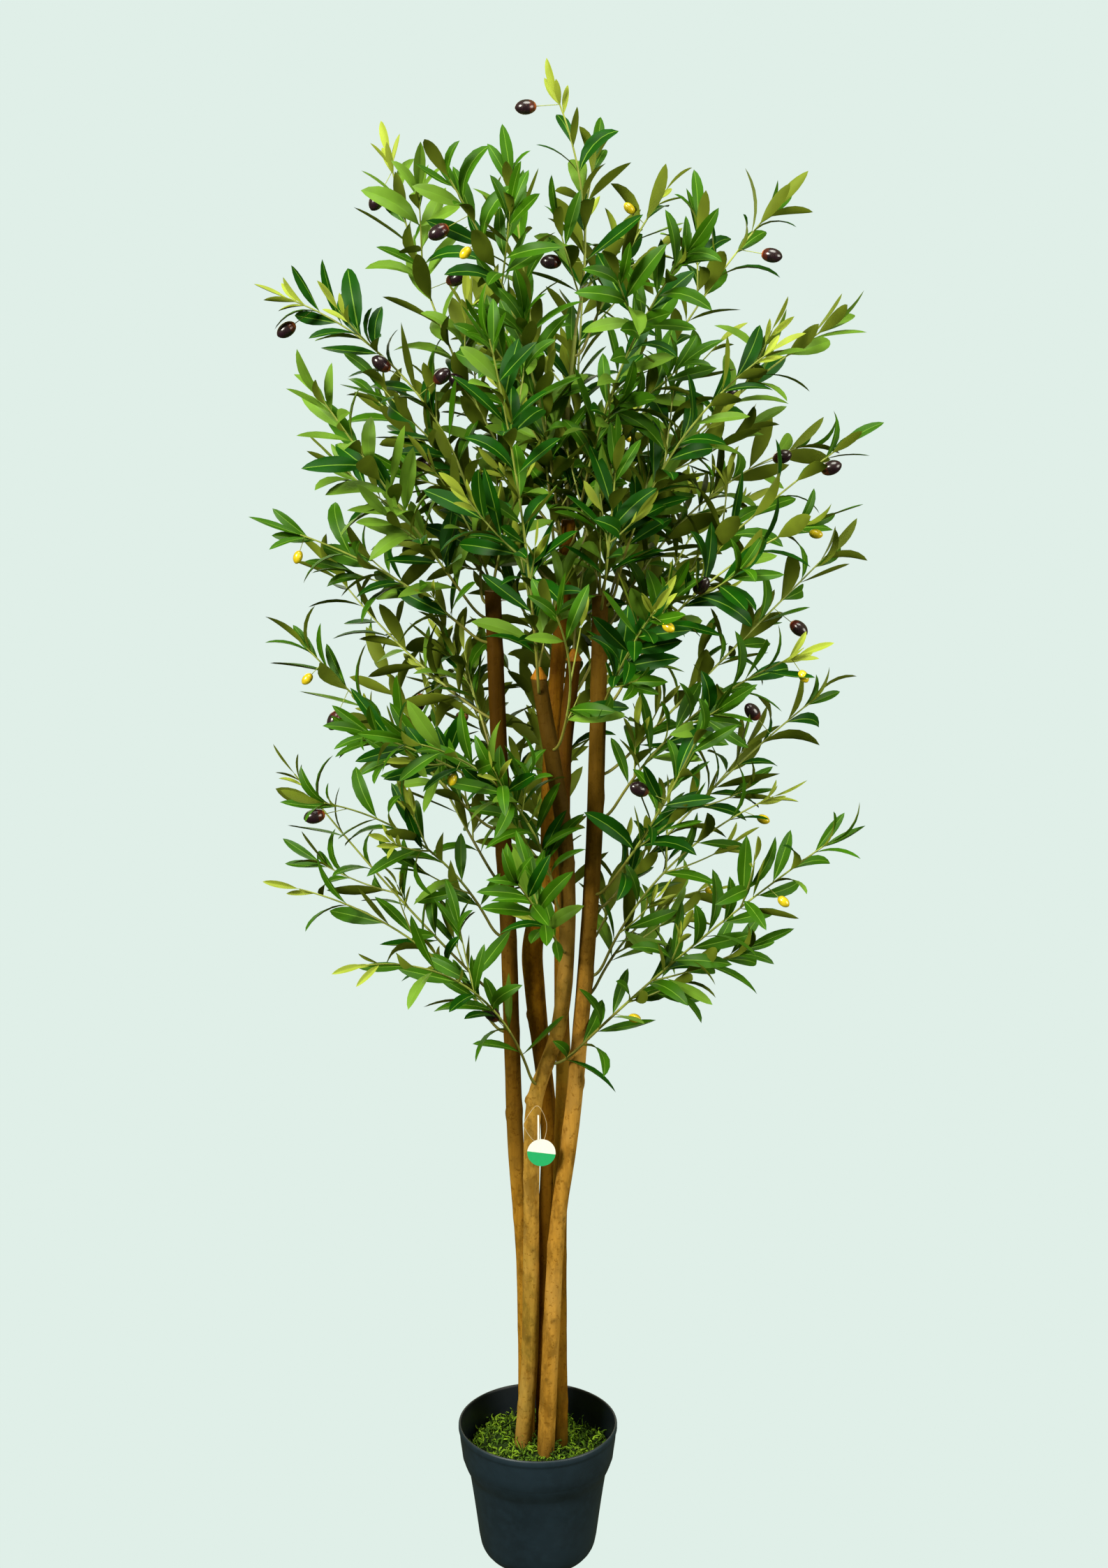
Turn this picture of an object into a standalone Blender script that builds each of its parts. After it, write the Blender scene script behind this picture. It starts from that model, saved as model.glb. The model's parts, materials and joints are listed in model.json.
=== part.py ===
"""Artificial olive tree in a nursery pot, about 1.8 m tall.

Five crooked wood poles stand in a weighted pot under a layer of moss. Leafy plastic
sprays are plugged into the sides and tops of the poles and make up the crown.

Units are metres, +Z is up, and the origin is the middle of the pot's flat underside.
Seen from the front the view looks along +Y, with +X to the right.
"""
import math
import random
from collections import namedtuple

import bmesh
import bpy
import numpy as np
from mathutils import Matrix, Vector
from mathutils.bvhtree import BVHTree

GAP = 0.0003  # between pieces that touch

# Pot: a tapered nursery pot with a wider band under its rim
POT_HEIGHT = 0.177
POT_RIM_RADIUS = 0.0983
POT_BAND_RADIUS = 0.093
POT_BAND_BOTTOM = 0.1335
POT_NECK_RADIUS = 0.085
POT_NECK_HEIGHT = 0.1145
POT_FOOT_RADIUS = 0.0713
POT_FOOT_HEIGHT = 0.0165
POT_SOLE_RADIUS = 0.055
POT_SOLE_ROUND = 0.0095
POT_WALL = 0.0026
POT_LIP_BEVEL = 0.0015
POT_LIP_HEIGHT = 0.009
POT_SIDES = 36

# What fills the pot
FILLER_TOP = 0.118
MOSS_HEIGHT = 0.139
MOSS_RELIEF = 0.005
MOSS_RINGS = 3

# Poles
POLE_SIDES = 10
POLE_RINGS = 13
POLE_SOCKET_FLOOR = 0.02
CONE_HEIGHT = 0.0145
CONE_BASE_HEIGHT = 0.002
CONE_BASE_RADIUS = 0.0095
CONE_TIP_RADIUS = 0.0022

# Sprays. A share is of a stem's or a leaf's length, and an angle is in degrees.
PLUG_LENGTH = 0.007
TOP_SEAT_DEPTH = 0.001  # a spray this near to a limb's top stands on its end
STEM_SEGMENTS = 5
TWIG_SEGMENTS = 2
STEM_ROOT_RADIUS = 0.0028
STEM_TIP_RADIUS = 0.0015
TWIG_TIP_RADIUS = 0.0012
BARE_SHARE = 0.26  # of a stem, before its first twig or leaf
TWIG_BARE_SHARE = 0.2
LAST_TWIG_SHARE = 0.92
TWIG_PITCH = 0.19  # along a stem, between side twigs
TWIG_START = 0.35  # of a pitch, before the first twig
TWIG_REACH = 0.36  # of the stem's length, for a twig at its root
TWIG_TAPER = 0.22  # how much less of it a twig at the stem's tip has
TWIG_SIZES = (0.85, 1.15)
TWIG_SPREAD = (36, 50)  # off the stem
TWIG_PULL = 0.16  # upward, at each segment of a twig
TWIG_TRIES = 5
LEAF_PITCH = 0.098  # along a stem or twig, between pairs of leaves
LEAF_START = 0.3  # of a pitch, before the first pair
LEAF_LENGTH = 0.098
LEAF_WIDTH = 0.029
LEAF_THICKNESS = 0.0018
LEAF_WIDEST = 0.5
LEAF_ARCH = 0.05
LEAF_SIZES = (0.85, 1.1)
LEAF_SPREAD = (34, 52)  # off the stem or twig
LEAF_TURN = 0.3  # radians either way about the stem, at random
LEAF_NEXT_TURN = 0.7  # radians, from one try to the next
LEAF_NEXT_SIZE = 0.1  # how much smaller each try is
LEAF_TRIES = 4
TIP_LEAF_SIZE = 0.6
LEAF_SINK = 0.3  # of the twig's radius, that a root goes past its middle
LEAF_ROOM = 0.006
SAMPLE_PITCH = 0.008
SPACE_MARGIN = 0.0015  # kept between one spray's space and the next
LIMB_CLEARANCE = 0.0145  # from a pole's middle
MIN_ACROSS = 0.05  # below which a stem counts as upright
GOLDEN_ANGLE = math.radians(137.5)

# Olives
OLIVE_LENGTH = 0.023
OLIVE_WIDTH = 0.0165
OLIVE_WIRE = 0.026
OLIVE_WIRE_RADIUS = 0.0009
OLIVE_LEAN = 0.3  # along the stem
OLIVE_SAG = 0.35
OLIVE_TRIES = 6

LEAST_KEPT = 0.9  # of what is fused to a stem, by volume, or the join has lost a twig

Pole = namedtuple("Pole", "name foot_radius top_radius has_cone bends")
POLES = (
    Pole("left", 0.0103, 0.0092, False, (
        (-0.014, 0.024, 0.150), (-0.016, 0.016, 0.373), (-0.027, 0.013, 0.544),
        (-0.034, 0.008, 0.808), (-0.041, 0.005, 0.955), (-0.050, 0.000, 1.209))),
    Pole("front", 0.0104, 0.0088, True, (
        (-0.018, 0.000, 0.150), (-0.009, -0.014, 0.290), (-0.007, -0.028, 0.520),
        (-0.006, -0.029, 0.580), (0.000, -0.030, 0.622), (0.010, -0.030, 0.650),
        (0.025, -0.032, 0.698), (0.033, -0.034, 0.765), (0.036, -0.037, 0.850),
        (0.032, -0.040, 0.935), (0.022, -0.042, 1.000), (0.003, -0.045, 1.115))),
    Pole("middle", 0.0112, 0.0084, False, (
        (0.009, 0.028, 0.150), (0.007, 0.041, 0.347), (0.014, 0.042, 0.530),
        (0.004, 0.042, 0.648), (-0.003, 0.042, 0.720), (-0.006, 0.042, 0.772),
        (0.003, 0.042, 0.825), (0.013, 0.042, 0.875), (0.014, 0.042, 0.950),
        (0.018, 0.042, 1.030), (0.037, 0.042, 1.286))),
    Pole("back", 0.0102, 0.0080, True, (
        (0.027, 0.005, 0.150), (0.026, 0.017, 0.400), (0.031, 0.018, 0.620),
        (0.029, 0.017, 0.720), (0.030, 0.016, 0.920), (0.032, 0.016, 1.014),
        (0.043, 0.018, 1.126))),
    Pole("right", 0.0104, 0.0090, False, (
        (0.010, -0.020, 0.150), (0.016, -0.027, 0.290), (0.024, -0.026, 0.445),
        (0.037, -0.026, 0.547), (0.047, -0.025, 0.646), (0.064, -0.023, 0.870),
        (0.070, -0.022, 1.060), (0.072, -0.020, 1.207))),
)

# Leader: the long bare shoot on top of the middle pole
LEADER_ROOT_RADIUS = 0.0042
LEADER_TIP_RADIUS = 0.0034
LEADER_REACH = (0.007, 0.0, 0.207)
LEADER_BOW = 0.006
LEADER_SIDES = 6
LEADER_RINGS = 7

# Edges sharper than this, in degrees, are not shaded smooth
POT_SHARP = 35
WOOD_SHARP = 40
STEM_SHARP = 70

CURVE_STEPS = 12  # between two points of a smooth line

# One row for each spray. height is where it is plugged in, heading the way it sets out
# (0 towards +X, 90 towards +Y) and rise its slope there. From root to tip the slope
# changes by bend and the heading by sweep, all in degrees. fruit holds the places along
# the stem where an olive hangs, as shares of its length.
Spray = namedtuple("Spray", "name pole height heading rise length bend sweep fruit")
SPRAYS = (
    Spray("top_spray_1", "leader", 1.493, -162, 104, 0.255, -38, 1, (0.90,)),
    Spray("top_spray_2", "leader", 1.470, 32, 66, 0.215, -14, -5, (0.80,)),
    Spray("top_spray_3", "middle", 1.270, 176, 54, 0.46, 24, -3, (0.93,)),
    Spray("top_spray_4", "middle", 1.262, -115, 78, 0.44, -29, -20, (0.78,)),
    Spray("top_spray_5", "middle", 1.256, -62, 74, 0.40, -38, 4, ()),
    Spray("top_spray_6", "middle", 1.240, 4, 74, 0.45, -26, 2, (0.84,)),
    Spray("top_spray_7", "middle", 1.272, 80, 72, 0.42, -18, 6, ()),
    Spray("top_spray_8", "middle", 1.228, -138, 84, 0.435, -6, 4, ()),
    Spray("right_spray_1", "middle", 1.215, -9, 58, 0.4, -24, 3, ()),
    Spray("right_spray_2", "right", 1.195, -29, 80, 0.35, -48, -5, (0.92,)),
    Spray("right_spray_3", "right", 1.188, 57, 66, 0.25, -23, -11, ()),
    Spray("right_spray_4", "right", 1.120, 62, 24, 0.32, 25, -9, (0.85,)),
    Spray("right_spray_5", "right", 1.150, 4, 45, 0.335, -8, 0, (0.90,)),
    Spray("right_spray_6", "right", 1.168, 36, 59, 0.34, -45, -10, (0.88,)),
    Spray("right_spray_7", "right", 1.080, -13, 65, 0.315, -42, -1, (0.35, 0.96)),
    Spray("right_spray_8", "right", 1.000, 17, 43, 0.365, -4, 10, (0.88,)),
    Spray("right_spray_9", "right", 0.950, -30, 61, 0.305, -37, 12, (0.93,)),
    Spray("right_spray_10", "right", 0.840, 9, 51, 0.345, -14, 3, (0.84,)),
    Spray("right_spray_11", "right", 0.760, -10, 71, 0.305, -46, 7, (0.95,)),
    Spray("right_spray_12", "right", 0.735, 41, 58, 0.22, -62, -3, ()),
    Spray("right_spray_13", "front", 0.655, -23, 48, 0.435, -9, 2, (0.34, 0.80)),
    Spray("right_spray_14", "right", 0.800, 71, 12, 0.17, 32, 6, ()),
    Spray("left_spray_1", "left", 1.195, 176, 96, 0.43, -76, -2, (0.93,)),
    Spray("left_spray_2", "left", 1.178, -148, 52, 0.32, -1, 6, ()),
    Spray("left_spray_3", "middle", 1.210, 158, 47, 0.30, -7, 2, (0.90,)),
    Spray("left_spray_4", "left", 1.150, -169, 44, 0.24, -24, -5, (0.93,)),
    Spray("left_spray_5", "left", 1.209, 126, 33, 0.18, -24, 1, ()),
    Spray("left_spray_6", "left", 1.060, 142, 23, 0.29, 19, 0, ()),
    Spray("left_spray_7", "left", 0.930, -173, 46, 0.30, 1, 0, (0.92,)),
    Spray("left_spray_8", "left", 0.980, -138, 32, 0.21, -12, 8, ()),
    Spray("left_spray_9", "front", 0.840, -132, 80, 0.33, -65, -13, (0.80,)),
    Spray("left_spray_10", "left", 1.010, 118, 60, 0.20, -24, 4, ()),
    Spray("left_spray_11", "left", 0.720, 173, 44, 0.36, 9, 4, (0.84,)),
    Spray("left_spray_12", "left", 0.800, -147, 65, 0.30, -49, 0, ()),
    Spray("left_spray_13", "left", 0.680, -171, 61, 0.305, -44, 1, ()),
    Spray("left_spray_14", "front", 0.630, -134, 72, 0.335, -66, -4, (0.30,)),
    Spray("front_spray_1", "front", 1.100, -105, 78, 0.42, -18, -7, (0.80,)),
    Spray("front_spray_2", "right", 1.192, -80, 60, 0.18, 13, 1, ()),
    Spray("front_spray_3", "right", 1.075, -75, 42, 0.24, -12, 1, (0.85,)),
    Spray("front_spray_4", "right", 0.860, -48, 47, 0.27, 8, -13, (0.72,)),
    Spray("front_spray_5", "front", 1.035, -64, 56, 0.22, -7, -54, ()),
    Spray("front_spray_6", "front", 0.795, -105, 36, 0.24, -3, 0, ()),
    Spray("back_spray_1", "middle", 1.235, 103, 52, 0.44, -15, 8, (0.86,)),
    Spray("back_spray_2", "middle", 1.150, 78, 45, 0.42, -20, -6, (0.90,)),
    Spray("back_spray_3", "middle", 1.120, 128, 48, 0.42, -10, 6, ()),
    Spray("back_spray_4", "back", 1.085, 62, 40, 0.40, -12, 5, ()),
    Spray("back_spray_5", "middle", 0.950, 95, 38, 0.40, -6, -8, (0.88,)),
    Spray("back_spray_6", "back", 0.950, 84, 50, 0.38, -25, 6, ()),
    Spray("back_spray_7", "middle", 0.850, 112, 45, 0.40, -12, 4, ()),
    Spray("back_spray_8", "left", 0.860, 128, 40, 0.36, 4, -6, ()),
    Spray("back_spray_9", "back", 0.780, 92, 40, 0.36, -10, 8, (0.86,)),
)

# Colours, in linear light, with roughness
FINISHES = {
    "pot plastic": ((0.014, 0.022, 0.030), 0.38),
    "cement": ((0.36, 0.35, 0.33), 0.90),
    "preserved moss": ((0.13, 0.26, 0.02), 0.95),
    "wood bark": ((0.35, 0.17, 0.045), 0.75),
    "plastic stem": ((0.18, 0.20, 0.05), 0.55),
    "plastic leaves": ((0.025, 0.15, 0.035), 0.45),
}


def clear_scene():
    for thing in list(bpy.data.objects):
        bpy.data.objects.remove(thing, do_unlink=True)


def finish(name):
    """The named material, made on its first use."""
    known = bpy.data.materials.get(name)
    if known:
        return known
    colour, roughness = FINISHES[name]
    material = bpy.data.materials.new(name)
    material.use_nodes = True
    shader = material.node_tree.nodes["Principled BSDF"]
    shader.inputs["Base Color"].default_value = (*colour, 1.0)
    shader.inputs["Roughness"].default_value = roughness
    shader.inputs["Metallic"].default_value = 0.0
    material.diffuse_color = (*colour, 1.0)
    return material


def new_object(name, bm, material, sharp=None):
    """Turns a bmesh into an object of the scene, smooth except at its sharp edges."""
    mesh = bpy.data.meshes.new(name)
    bm.to_mesh(mesh)
    bm.free()
    mesh.materials.append(finish(material))
    thing = bpy.data.objects.new(name, mesh)
    bpy.context.scene.collection.objects.link(thing)
    if sharp is not None:
        mesh.shade_smooth()
        mesh.set_sharp_from_angle(angle=math.radians(sharp))
    return thing


def bridge_rings(bm, rings):
    """Quads between each ring of vertices and the next."""
    for low, high in zip(rings, rings[1:]):
        count = len(low)
        for i in range(count):
            j = (i + 1) % count
            bm.faces.new((low[i], low[j], high[j], high[i]))


# Smooth lines

def smooth_line(points, count):
    """count + 1 places on a Catmull-Rom curve through the points, even in height."""
    points = [Vector(p) for p in points]
    ends = [2 * points[0] - points[1]] + points + [2 * points[-1] - points[-2]]
    dense = []
    for before, start, stop, after in zip(ends, ends[1:], ends[2:], ends[3:]):
        for step in range(CURVE_STEPS):
            t = step / CURVE_STEPS
            dense.append(0.5 * (2 * start + (stop - before) * t
                                + (2 * before - 5 * start + 4 * stop - after) * t ** 2
                                + (3 * start - before - 3 * stop + after) * t ** 3))
    dense.append(points[-1])
    heights = [p.z for p in dense]
    line = []
    for step in range(count + 1):
        z = heights[0] + (heights[-1] - heights[0]) * step / count
        x = np.interp(z, heights, [p.x for p in dense])
        y = np.interp(z, heights, [p.y for p in dense])
        line.append(Vector((x, y, z)))
    return line


def stem_line(root, heading, rise, length, bend, sweep, segments):
    """An arc whose slope and heading change evenly from root to tip."""
    line = [root.copy()]
    for step in range(segments):
        share = (step + 0.5) / segments
        slope = math.radians(rise + bend * share)
        way = math.radians(heading + sweep * share)
        across = math.cos(slope)
        along = Vector((across * math.cos(way), across * math.sin(way), math.sin(slope)))
        line.append(line[-1] + along * length / segments)
    return line


def place_on(line, share):
    """The place at a share of the line's points, and the line's direction there."""
    at = min(max(share, 0.0), 1.0) * (len(line) - 1)
    low = min(int(at), len(line) - 2)
    step = line[low + 1] - line[low]
    return line[low] + step * (at - low), step.normalized()


# Pot and what fills it

def pot_outline():
    """Radius and height, from the middle of the sole, up outside and down inside."""
    outside = [
        (POT_SOLE_RADIUS, 0.0),
        (POT_SOLE_RADIUS + POT_SOLE_ROUND, POT_SOLE_ROUND * 0.6),
        (POT_FOOT_RADIUS, POT_FOOT_HEIGHT),
        (POT_NECK_RADIUS, POT_NECK_HEIGHT),
        (POT_BAND_RADIUS, POT_BAND_BOTTOM),
        (POT_RIM_RADIUS - POT_LIP_BEVEL, POT_HEIGHT - POT_LIP_HEIGHT),
        (POT_RIM_RADIUS, POT_HEIGHT - POT_LIP_HEIGHT + 2 * POT_LIP_BEVEL),
        (POT_RIM_RADIUS, POT_HEIGHT - POT_LIP_BEVEL),
        (POT_RIM_RADIUS - POT_LIP_BEVEL, POT_HEIGHT),
    ]
    inside = [(pot_inner_radius(z), z) for z in
              (POT_HEIGHT, POT_BAND_BOTTOM, POT_NECK_HEIGHT, POT_FOOT_HEIGHT, POT_WALL)]
    return outside + inside


def pot_inner_radius(height):
    """Half the clear width inside the pot."""
    heights = (0.0, POT_FOOT_HEIGHT, POT_NECK_HEIGHT, POT_BAND_BOTTOM, POT_HEIGHT)
    radii = (POT_SOLE_RADIUS, POT_FOOT_RADIUS, POT_NECK_RADIUS, POT_BAND_RADIUS,
             POT_RIM_RADIUS - POT_LIP_BEVEL / 2)
    return float(np.interp(height, heights, radii)) - POT_WALL


def ring_at(bm, radius, height, sides):
    turn = 2 * math.pi / sides
    return [bm.verts.new((radius * math.cos(i * turn), radius * math.sin(i * turn), height))
            for i in range(sides)]


def make_pot():
    bm = bmesh.new()
    rings = [ring_at(bm, radius, height, POT_SIDES) for radius, height in pot_outline()]
    bridge_rings(bm, rings)
    bm.faces.new(reversed(rings[0]))
    bm.faces.new(rings[-1])
    new_object("pot", bm, "pot plastic", POT_SHARP)


def make_filling(name, material, heights, top_rings=1, relief=0.0):
    """A solid that fills the pot through the heights, with a top of uneven rings."""
    draw = random.Random(name)
    bm = bmesh.new()
    outer = [ring_at(bm, pot_inner_radius(z) - GAP, z, POT_SIDES) for z in heights]
    top = heights[-1]
    bridge_rings(bm, outer)
    bm.faces.new(reversed(outer[0]))
    rings = [outer[-1]]
    for step in range(1, top_rings):
        radius = (pot_inner_radius(top) - GAP) * (1 - step / top_rings)
        ring = ring_at(bm, radius, top, POT_SIDES)
        for vert in ring:
            vert.co.z += draw.random() * relief
        rings.append(ring)
    bridge_rings(bm, rings)
    bm.faces.new(rings[-1])
    return new_object(name, bm, material)


# Poles, and the holes that they stand in

def pole_rings(pole, extra):
    """Centre and radius of each ring of a pole, made thicker by extra."""
    foot = Vector(pole.bends[0])
    line = smooth_line(pole.bends, POLE_RINGS)
    low = Vector((foot.x, foot.y, POLE_SOCKET_FLOOR - extra))
    rings = [(low, pole.foot_radius + extra)]
    for step, centre in enumerate(line):
        share = step / POLE_RINGS
        radius = pole.foot_radius + (pole.top_radius - pole.foot_radius) * share
        rings.append((centre, radius + extra))
    return rings


def make_pole_mesh(pole, extra=0.0):
    bm = bmesh.new()
    rings = []
    for centre, radius in pole_rings(pole, extra):
        ring = ring_at(bm, radius, 0.0, POLE_SIDES)
        for vert in ring:
            vert.co += centre
        rings.append(ring)
    if pole.has_cone:
        top = Vector(pole.bends[-1])
        for lift, radius in ((CONE_BASE_HEIGHT, CONE_BASE_RADIUS),
                             (CONE_HEIGHT, CONE_TIP_RADIUS)):
            ring = ring_at(bm, radius, lift, POLE_SIDES)
            for vert in ring:
                vert.co += top
            rings.append(ring)
    bridge_rings(bm, rings)
    bm.faces.new(reversed(rings[0]))
    bm.faces.new(rings[-1])
    return bm


def make_poles():
    """The five poles, and a tree of each pole's faces for seating sprays on it."""
    faces = {}
    for pole in POLES:
        bm = make_pole_mesh(pole)
        bm.normal_update()
        faces[pole.name] = BVHTree.FromBMesh(bm)
        new_object(pole.name + "_pole", bm, "wood bark", WOOD_SHARP)
    return faces


def cut_pole_holes(thing):
    """Sinks a hole for each pole, a gap wider than the pole."""
    cutters = bpy.data.collections.new("holes of " + thing.name)
    bpy.context.scene.collection.children.link(cutters)
    for pole in POLES:
        mesh = bpy.data.meshes.new("hole")
        bm = make_pole_mesh(pole, GAP)
        bm.to_mesh(mesh)
        bm.free()
        cutters.objects.link(bpy.data.objects.new("hole", mesh))
    thing.data = apply_boolean(thing, cutters, "DIFFERENCE")
    remove_collection(cutters)


def apply_boolean(thing, operands, operation, solver="EXACT"):
    """Applies one Boolean with a collection and returns the mesh it gives."""
    cut = thing.modifiers.new("join", "BOOLEAN")
    cut.operation = operation
    cut.operand_type = "COLLECTION"
    cut.collection = operands
    cut.solver = solver
    bpy.context.view_layer.update()
    evaluated = thing.evaluated_get(bpy.context.evaluated_depsgraph_get())
    result = bpy.data.meshes.new_from_object(evaluated)
    thing.modifiers.clear()
    return result


def remove_collection(operands):
    for operand in list(operands.objects):
        bpy.data.objects.remove(operand, do_unlink=True)
    bpy.data.collections.remove(operands)


# Leader

def make_leader():
    """The bare shoot on the middle pole's top, with its faces for seating sprays."""
    middle = next(pole for pole in POLES if pole.name == "middle")
    root = Vector(middle.bends[-1]) + Vector((0, 0, GAP))
    line = []
    for step in range(LEADER_RINGS):
        share = step / (LEADER_RINGS - 1)
        bow = Vector((-LEADER_BOW * math.sin(math.pi * share), 0, 0))
        line.append(root + Vector(LEADER_REACH) * share + bow)
    bm = bmesh.new()
    rings = []
    for step, centre in enumerate(line):
        share = step / (LEADER_RINGS - 1)
        radius = LEADER_ROOT_RADIUS + (LEADER_TIP_RADIUS - LEADER_ROOT_RADIUS) * share
        ring = ring_at(bm, radius, 0.0, LEADER_SIDES)
        for vert in ring:
            vert.co += centre
        rings.append(ring)
    bridge_rings(bm, rings)
    bm.faces.new(reversed(rings[0]))
    bm.faces.new(rings[-1])
    bm.normal_update()
    faces = BVHTree.FromBMesh(bm)
    new_object("leader_bough", bm, "plastic stem", STEM_SHARP)
    return line, faces


# Sprays

def limb_centre(line, height):
    """Where a limb's centre line passes a height."""
    heights = [p.z for p in line]
    return Vector((float(np.interp(height, heights, [p.x for p in line])),
                   float(np.interp(height, heights, [p.y for p in line])), height))


def seat(spray, line, faces):
    """The face that a spray is plugged into: the place on it and its outward normal."""
    top = line[-1]
    if spray.height > top.z - TOP_SEAT_DEPTH:
        start = top + Vector((0, 0, PLUG_LENGTH))
        way = Vector((0, 0, -1))
    else:
        start = limb_centre(line, spray.height)
        heading = math.radians(spray.heading)
        way = Vector((math.cos(heading), math.sin(heading), 0))
    place, normal, _, _ = faces.ray_cast(start, way)
    return place, normal


def make_skeleton(spray, line, faces):
    """The spray's stem as a line of places, from its seat to its tip."""
    place, normal = seat(spray, line, faces)
    foot = place + normal * GAP
    bend_start = place + normal * PLUG_LENGTH
    return [foot] + stem_line(bend_start, spray.heading, spray.rise, spray.length,
                              spray.bend, spray.sweep, STEM_SEGMENTS)


def sample(line):
    """Places along a line, close together."""
    places = []
    for start, stop in zip(line, line[1:]):
        count = math.ceil((stop - start).length / SAMPLE_PITCH)
        places += [start.lerp(stop, i / count) for i in range(count)]
    return places + [line[-1]]


class Space:
    """Who owns a place in the crown: the spray whose twigs are nearest to it."""

    def __init__(self, limbs):
        self.limbs = np.array([tuple(p) for line in limbs for p in sample(line)])
        self.places = np.empty((0, 3))
        self.owners = np.empty(0, int)

    def add(self, line, owner):
        places = np.array([tuple(p) for p in sample(line)])
        self.places = np.vstack([self.places, places])
        self.owners = np.append(self.owners, np.full(len(places), owner))

    def holds(self, points, owner):
        """True where every point is the owner's own and clear of the limbs."""
        points = np.array([tuple(p) for p in points])
        off_limbs = np.linalg.norm(points[:, None] - self.limbs[None], axis=2)
        if (off_limbs < LIMB_CLEARANCE).any():
            return False
        away = np.linalg.norm(points[:, None] - self.places[None], axis=2)
        own = away[:, self.owners == owner].min(axis=1)
        other = away[:, self.owners != owner].min(axis=1)
        return bool((own + SPACE_MARGIN < other).all())


def side_way(along, angle, spread):
    """A way that leaves a stem by spread, and the way square to the stem below it."""
    across = along.cross(Vector((0, 0, 1)))
    across = across.normalized() if across.length > MIN_ACROSS else Vector((1, 0, 0))
    lifted = across.cross(along).normalized()
    side = across * math.cos(angle) + lifted * math.sin(angle)
    return (along * math.cos(spread) + side * math.sin(spread)).normalized(), side


def grow_twigs(spray, stem, owner, space, draw):
    """Side twigs at even steps along the stem, each turned on by the golden angle."""
    twigs = []
    count = max(1, round(spray.length * (1 - BARE_SHARE) / TWIG_PITCH))
    turn = draw.uniform(0, 2 * math.pi)
    for step in range(count):
        share = BARE_SHARE + (LAST_TWIG_SHARE - BARE_SHARE) * (step + TWIG_START) / count
        place, along = place_on(stem[1:], share)
        reach = spray.length * (TWIG_REACH - TWIG_TAPER * share) * draw.uniform(*TWIG_SIZES)
        for _ in range(TWIG_TRIES):
            turn += GOLDEN_ANGLE
            way, _ = side_way(along, turn, math.radians(draw.uniform(*TWIG_SPREAD)))
            line = [place]
            for _ in range(TWIG_SEGMENTS):
                way = (way + Vector((0, 0, TWIG_PULL))).normalized()
                line.append(line[-1] + way * reach / TWIG_SEGMENTS)
            if space.holds(line[1:], owner):
                twigs.append(line)
                break
    return twigs


def leaf_points(place, way, side, size, sink):
    """Root, two widest places, ridge and tip of one leaf, which arches away from up."""
    up = way.cross(side).normalized()
    length = LEAF_LENGTH * size
    arch = up * length * LEAF_ARCH
    middle = place + way * length * LEAF_WIDEST + arch
    reach = side * LEAF_WIDTH * size / 2
    return (place - way * sink, middle + reach, middle - reach,
            middle + up * LEAF_THICKNESS, place + way * length - arch)


LEAF_FACES = ((0, 3, 1), (0, 2, 3), (1, 3, 4), (3, 2, 4), (0, 1, 2), (1, 4, 2))


def make_leaf(points):
    bm = bmesh.new()
    verts = [bm.verts.new(p) for p in points]
    for corners in LEAF_FACES:
        bm.faces.new([verts[i] for i in corners])
    bmesh.ops.recalc_face_normals(bm, faces=bm.faces)
    return bm


def leaf_probes(points):
    """Places all over a leaf, to test whose space they are in."""
    root, left, right, ridge, tip = points
    return [left, right, ridge, tip, root.lerp(ridge, 0.5), ridge.lerp(tip, 0.5)]


def has_room(points, taken):
    """True where a leaf's points stay off the twigs and leaves of its own spray."""
    points = np.array([tuple(p) for p in points])
    return bool((np.linalg.norm(points[:, None] - np.array(taken)[None], axis=2)
                 > LEAF_ROOM).all())


def grow_leaves(line, bare, radius, owner, space, taken, draw):
    """Pairs of leaves along a line, each pair turned a quarter on, and one at the tip."""
    found = []
    length = sum((stop - start).length for start, stop in zip(line, line[1:]))
    pairs = max(1, round(length * (1 - bare) / LEAF_PITCH))
    turn = draw.uniform(0, math.pi)
    for step in range(pairs):
        place, along = place_on(line, bare + (1 - bare) * (step + LEAF_START) / pairs)
        for half in (0, 1):
            for tries in range(LEAF_TRIES):
                angle = turn + math.pi * half + LEAF_NEXT_TURN * tries
                angle += draw.uniform(-LEAF_TURN, LEAF_TURN)
                way, out = side_way(along, angle, math.radians(draw.uniform(*LEAF_SPREAD)))
                size = draw.uniform(*LEAF_SIZES) * (1 - LEAF_NEXT_SIZE * tries)
                points = leaf_points(place, way, along.cross(out), size,
                                     radius * LEAF_SINK)
                probes = leaf_probes(points)
                if space.holds(probes, owner) and has_room(probes, taken):
                    found.append(points)
                    taken += [tuple(p) for p in probes]
                    break
        turn += math.pi / 2
    place, along = place_on(line, 1.0)
    out = side_way(along, turn, 0)[1]
    points = leaf_points(place, along, out, TIP_LEAF_SIZE, 2 * radius)
    probes = leaf_probes(points)
    if space.holds(probes, owner) and has_room(probes, taken):
        found.append(points)
        taken += [tuple(p) for p in probes]
    return found


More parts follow.
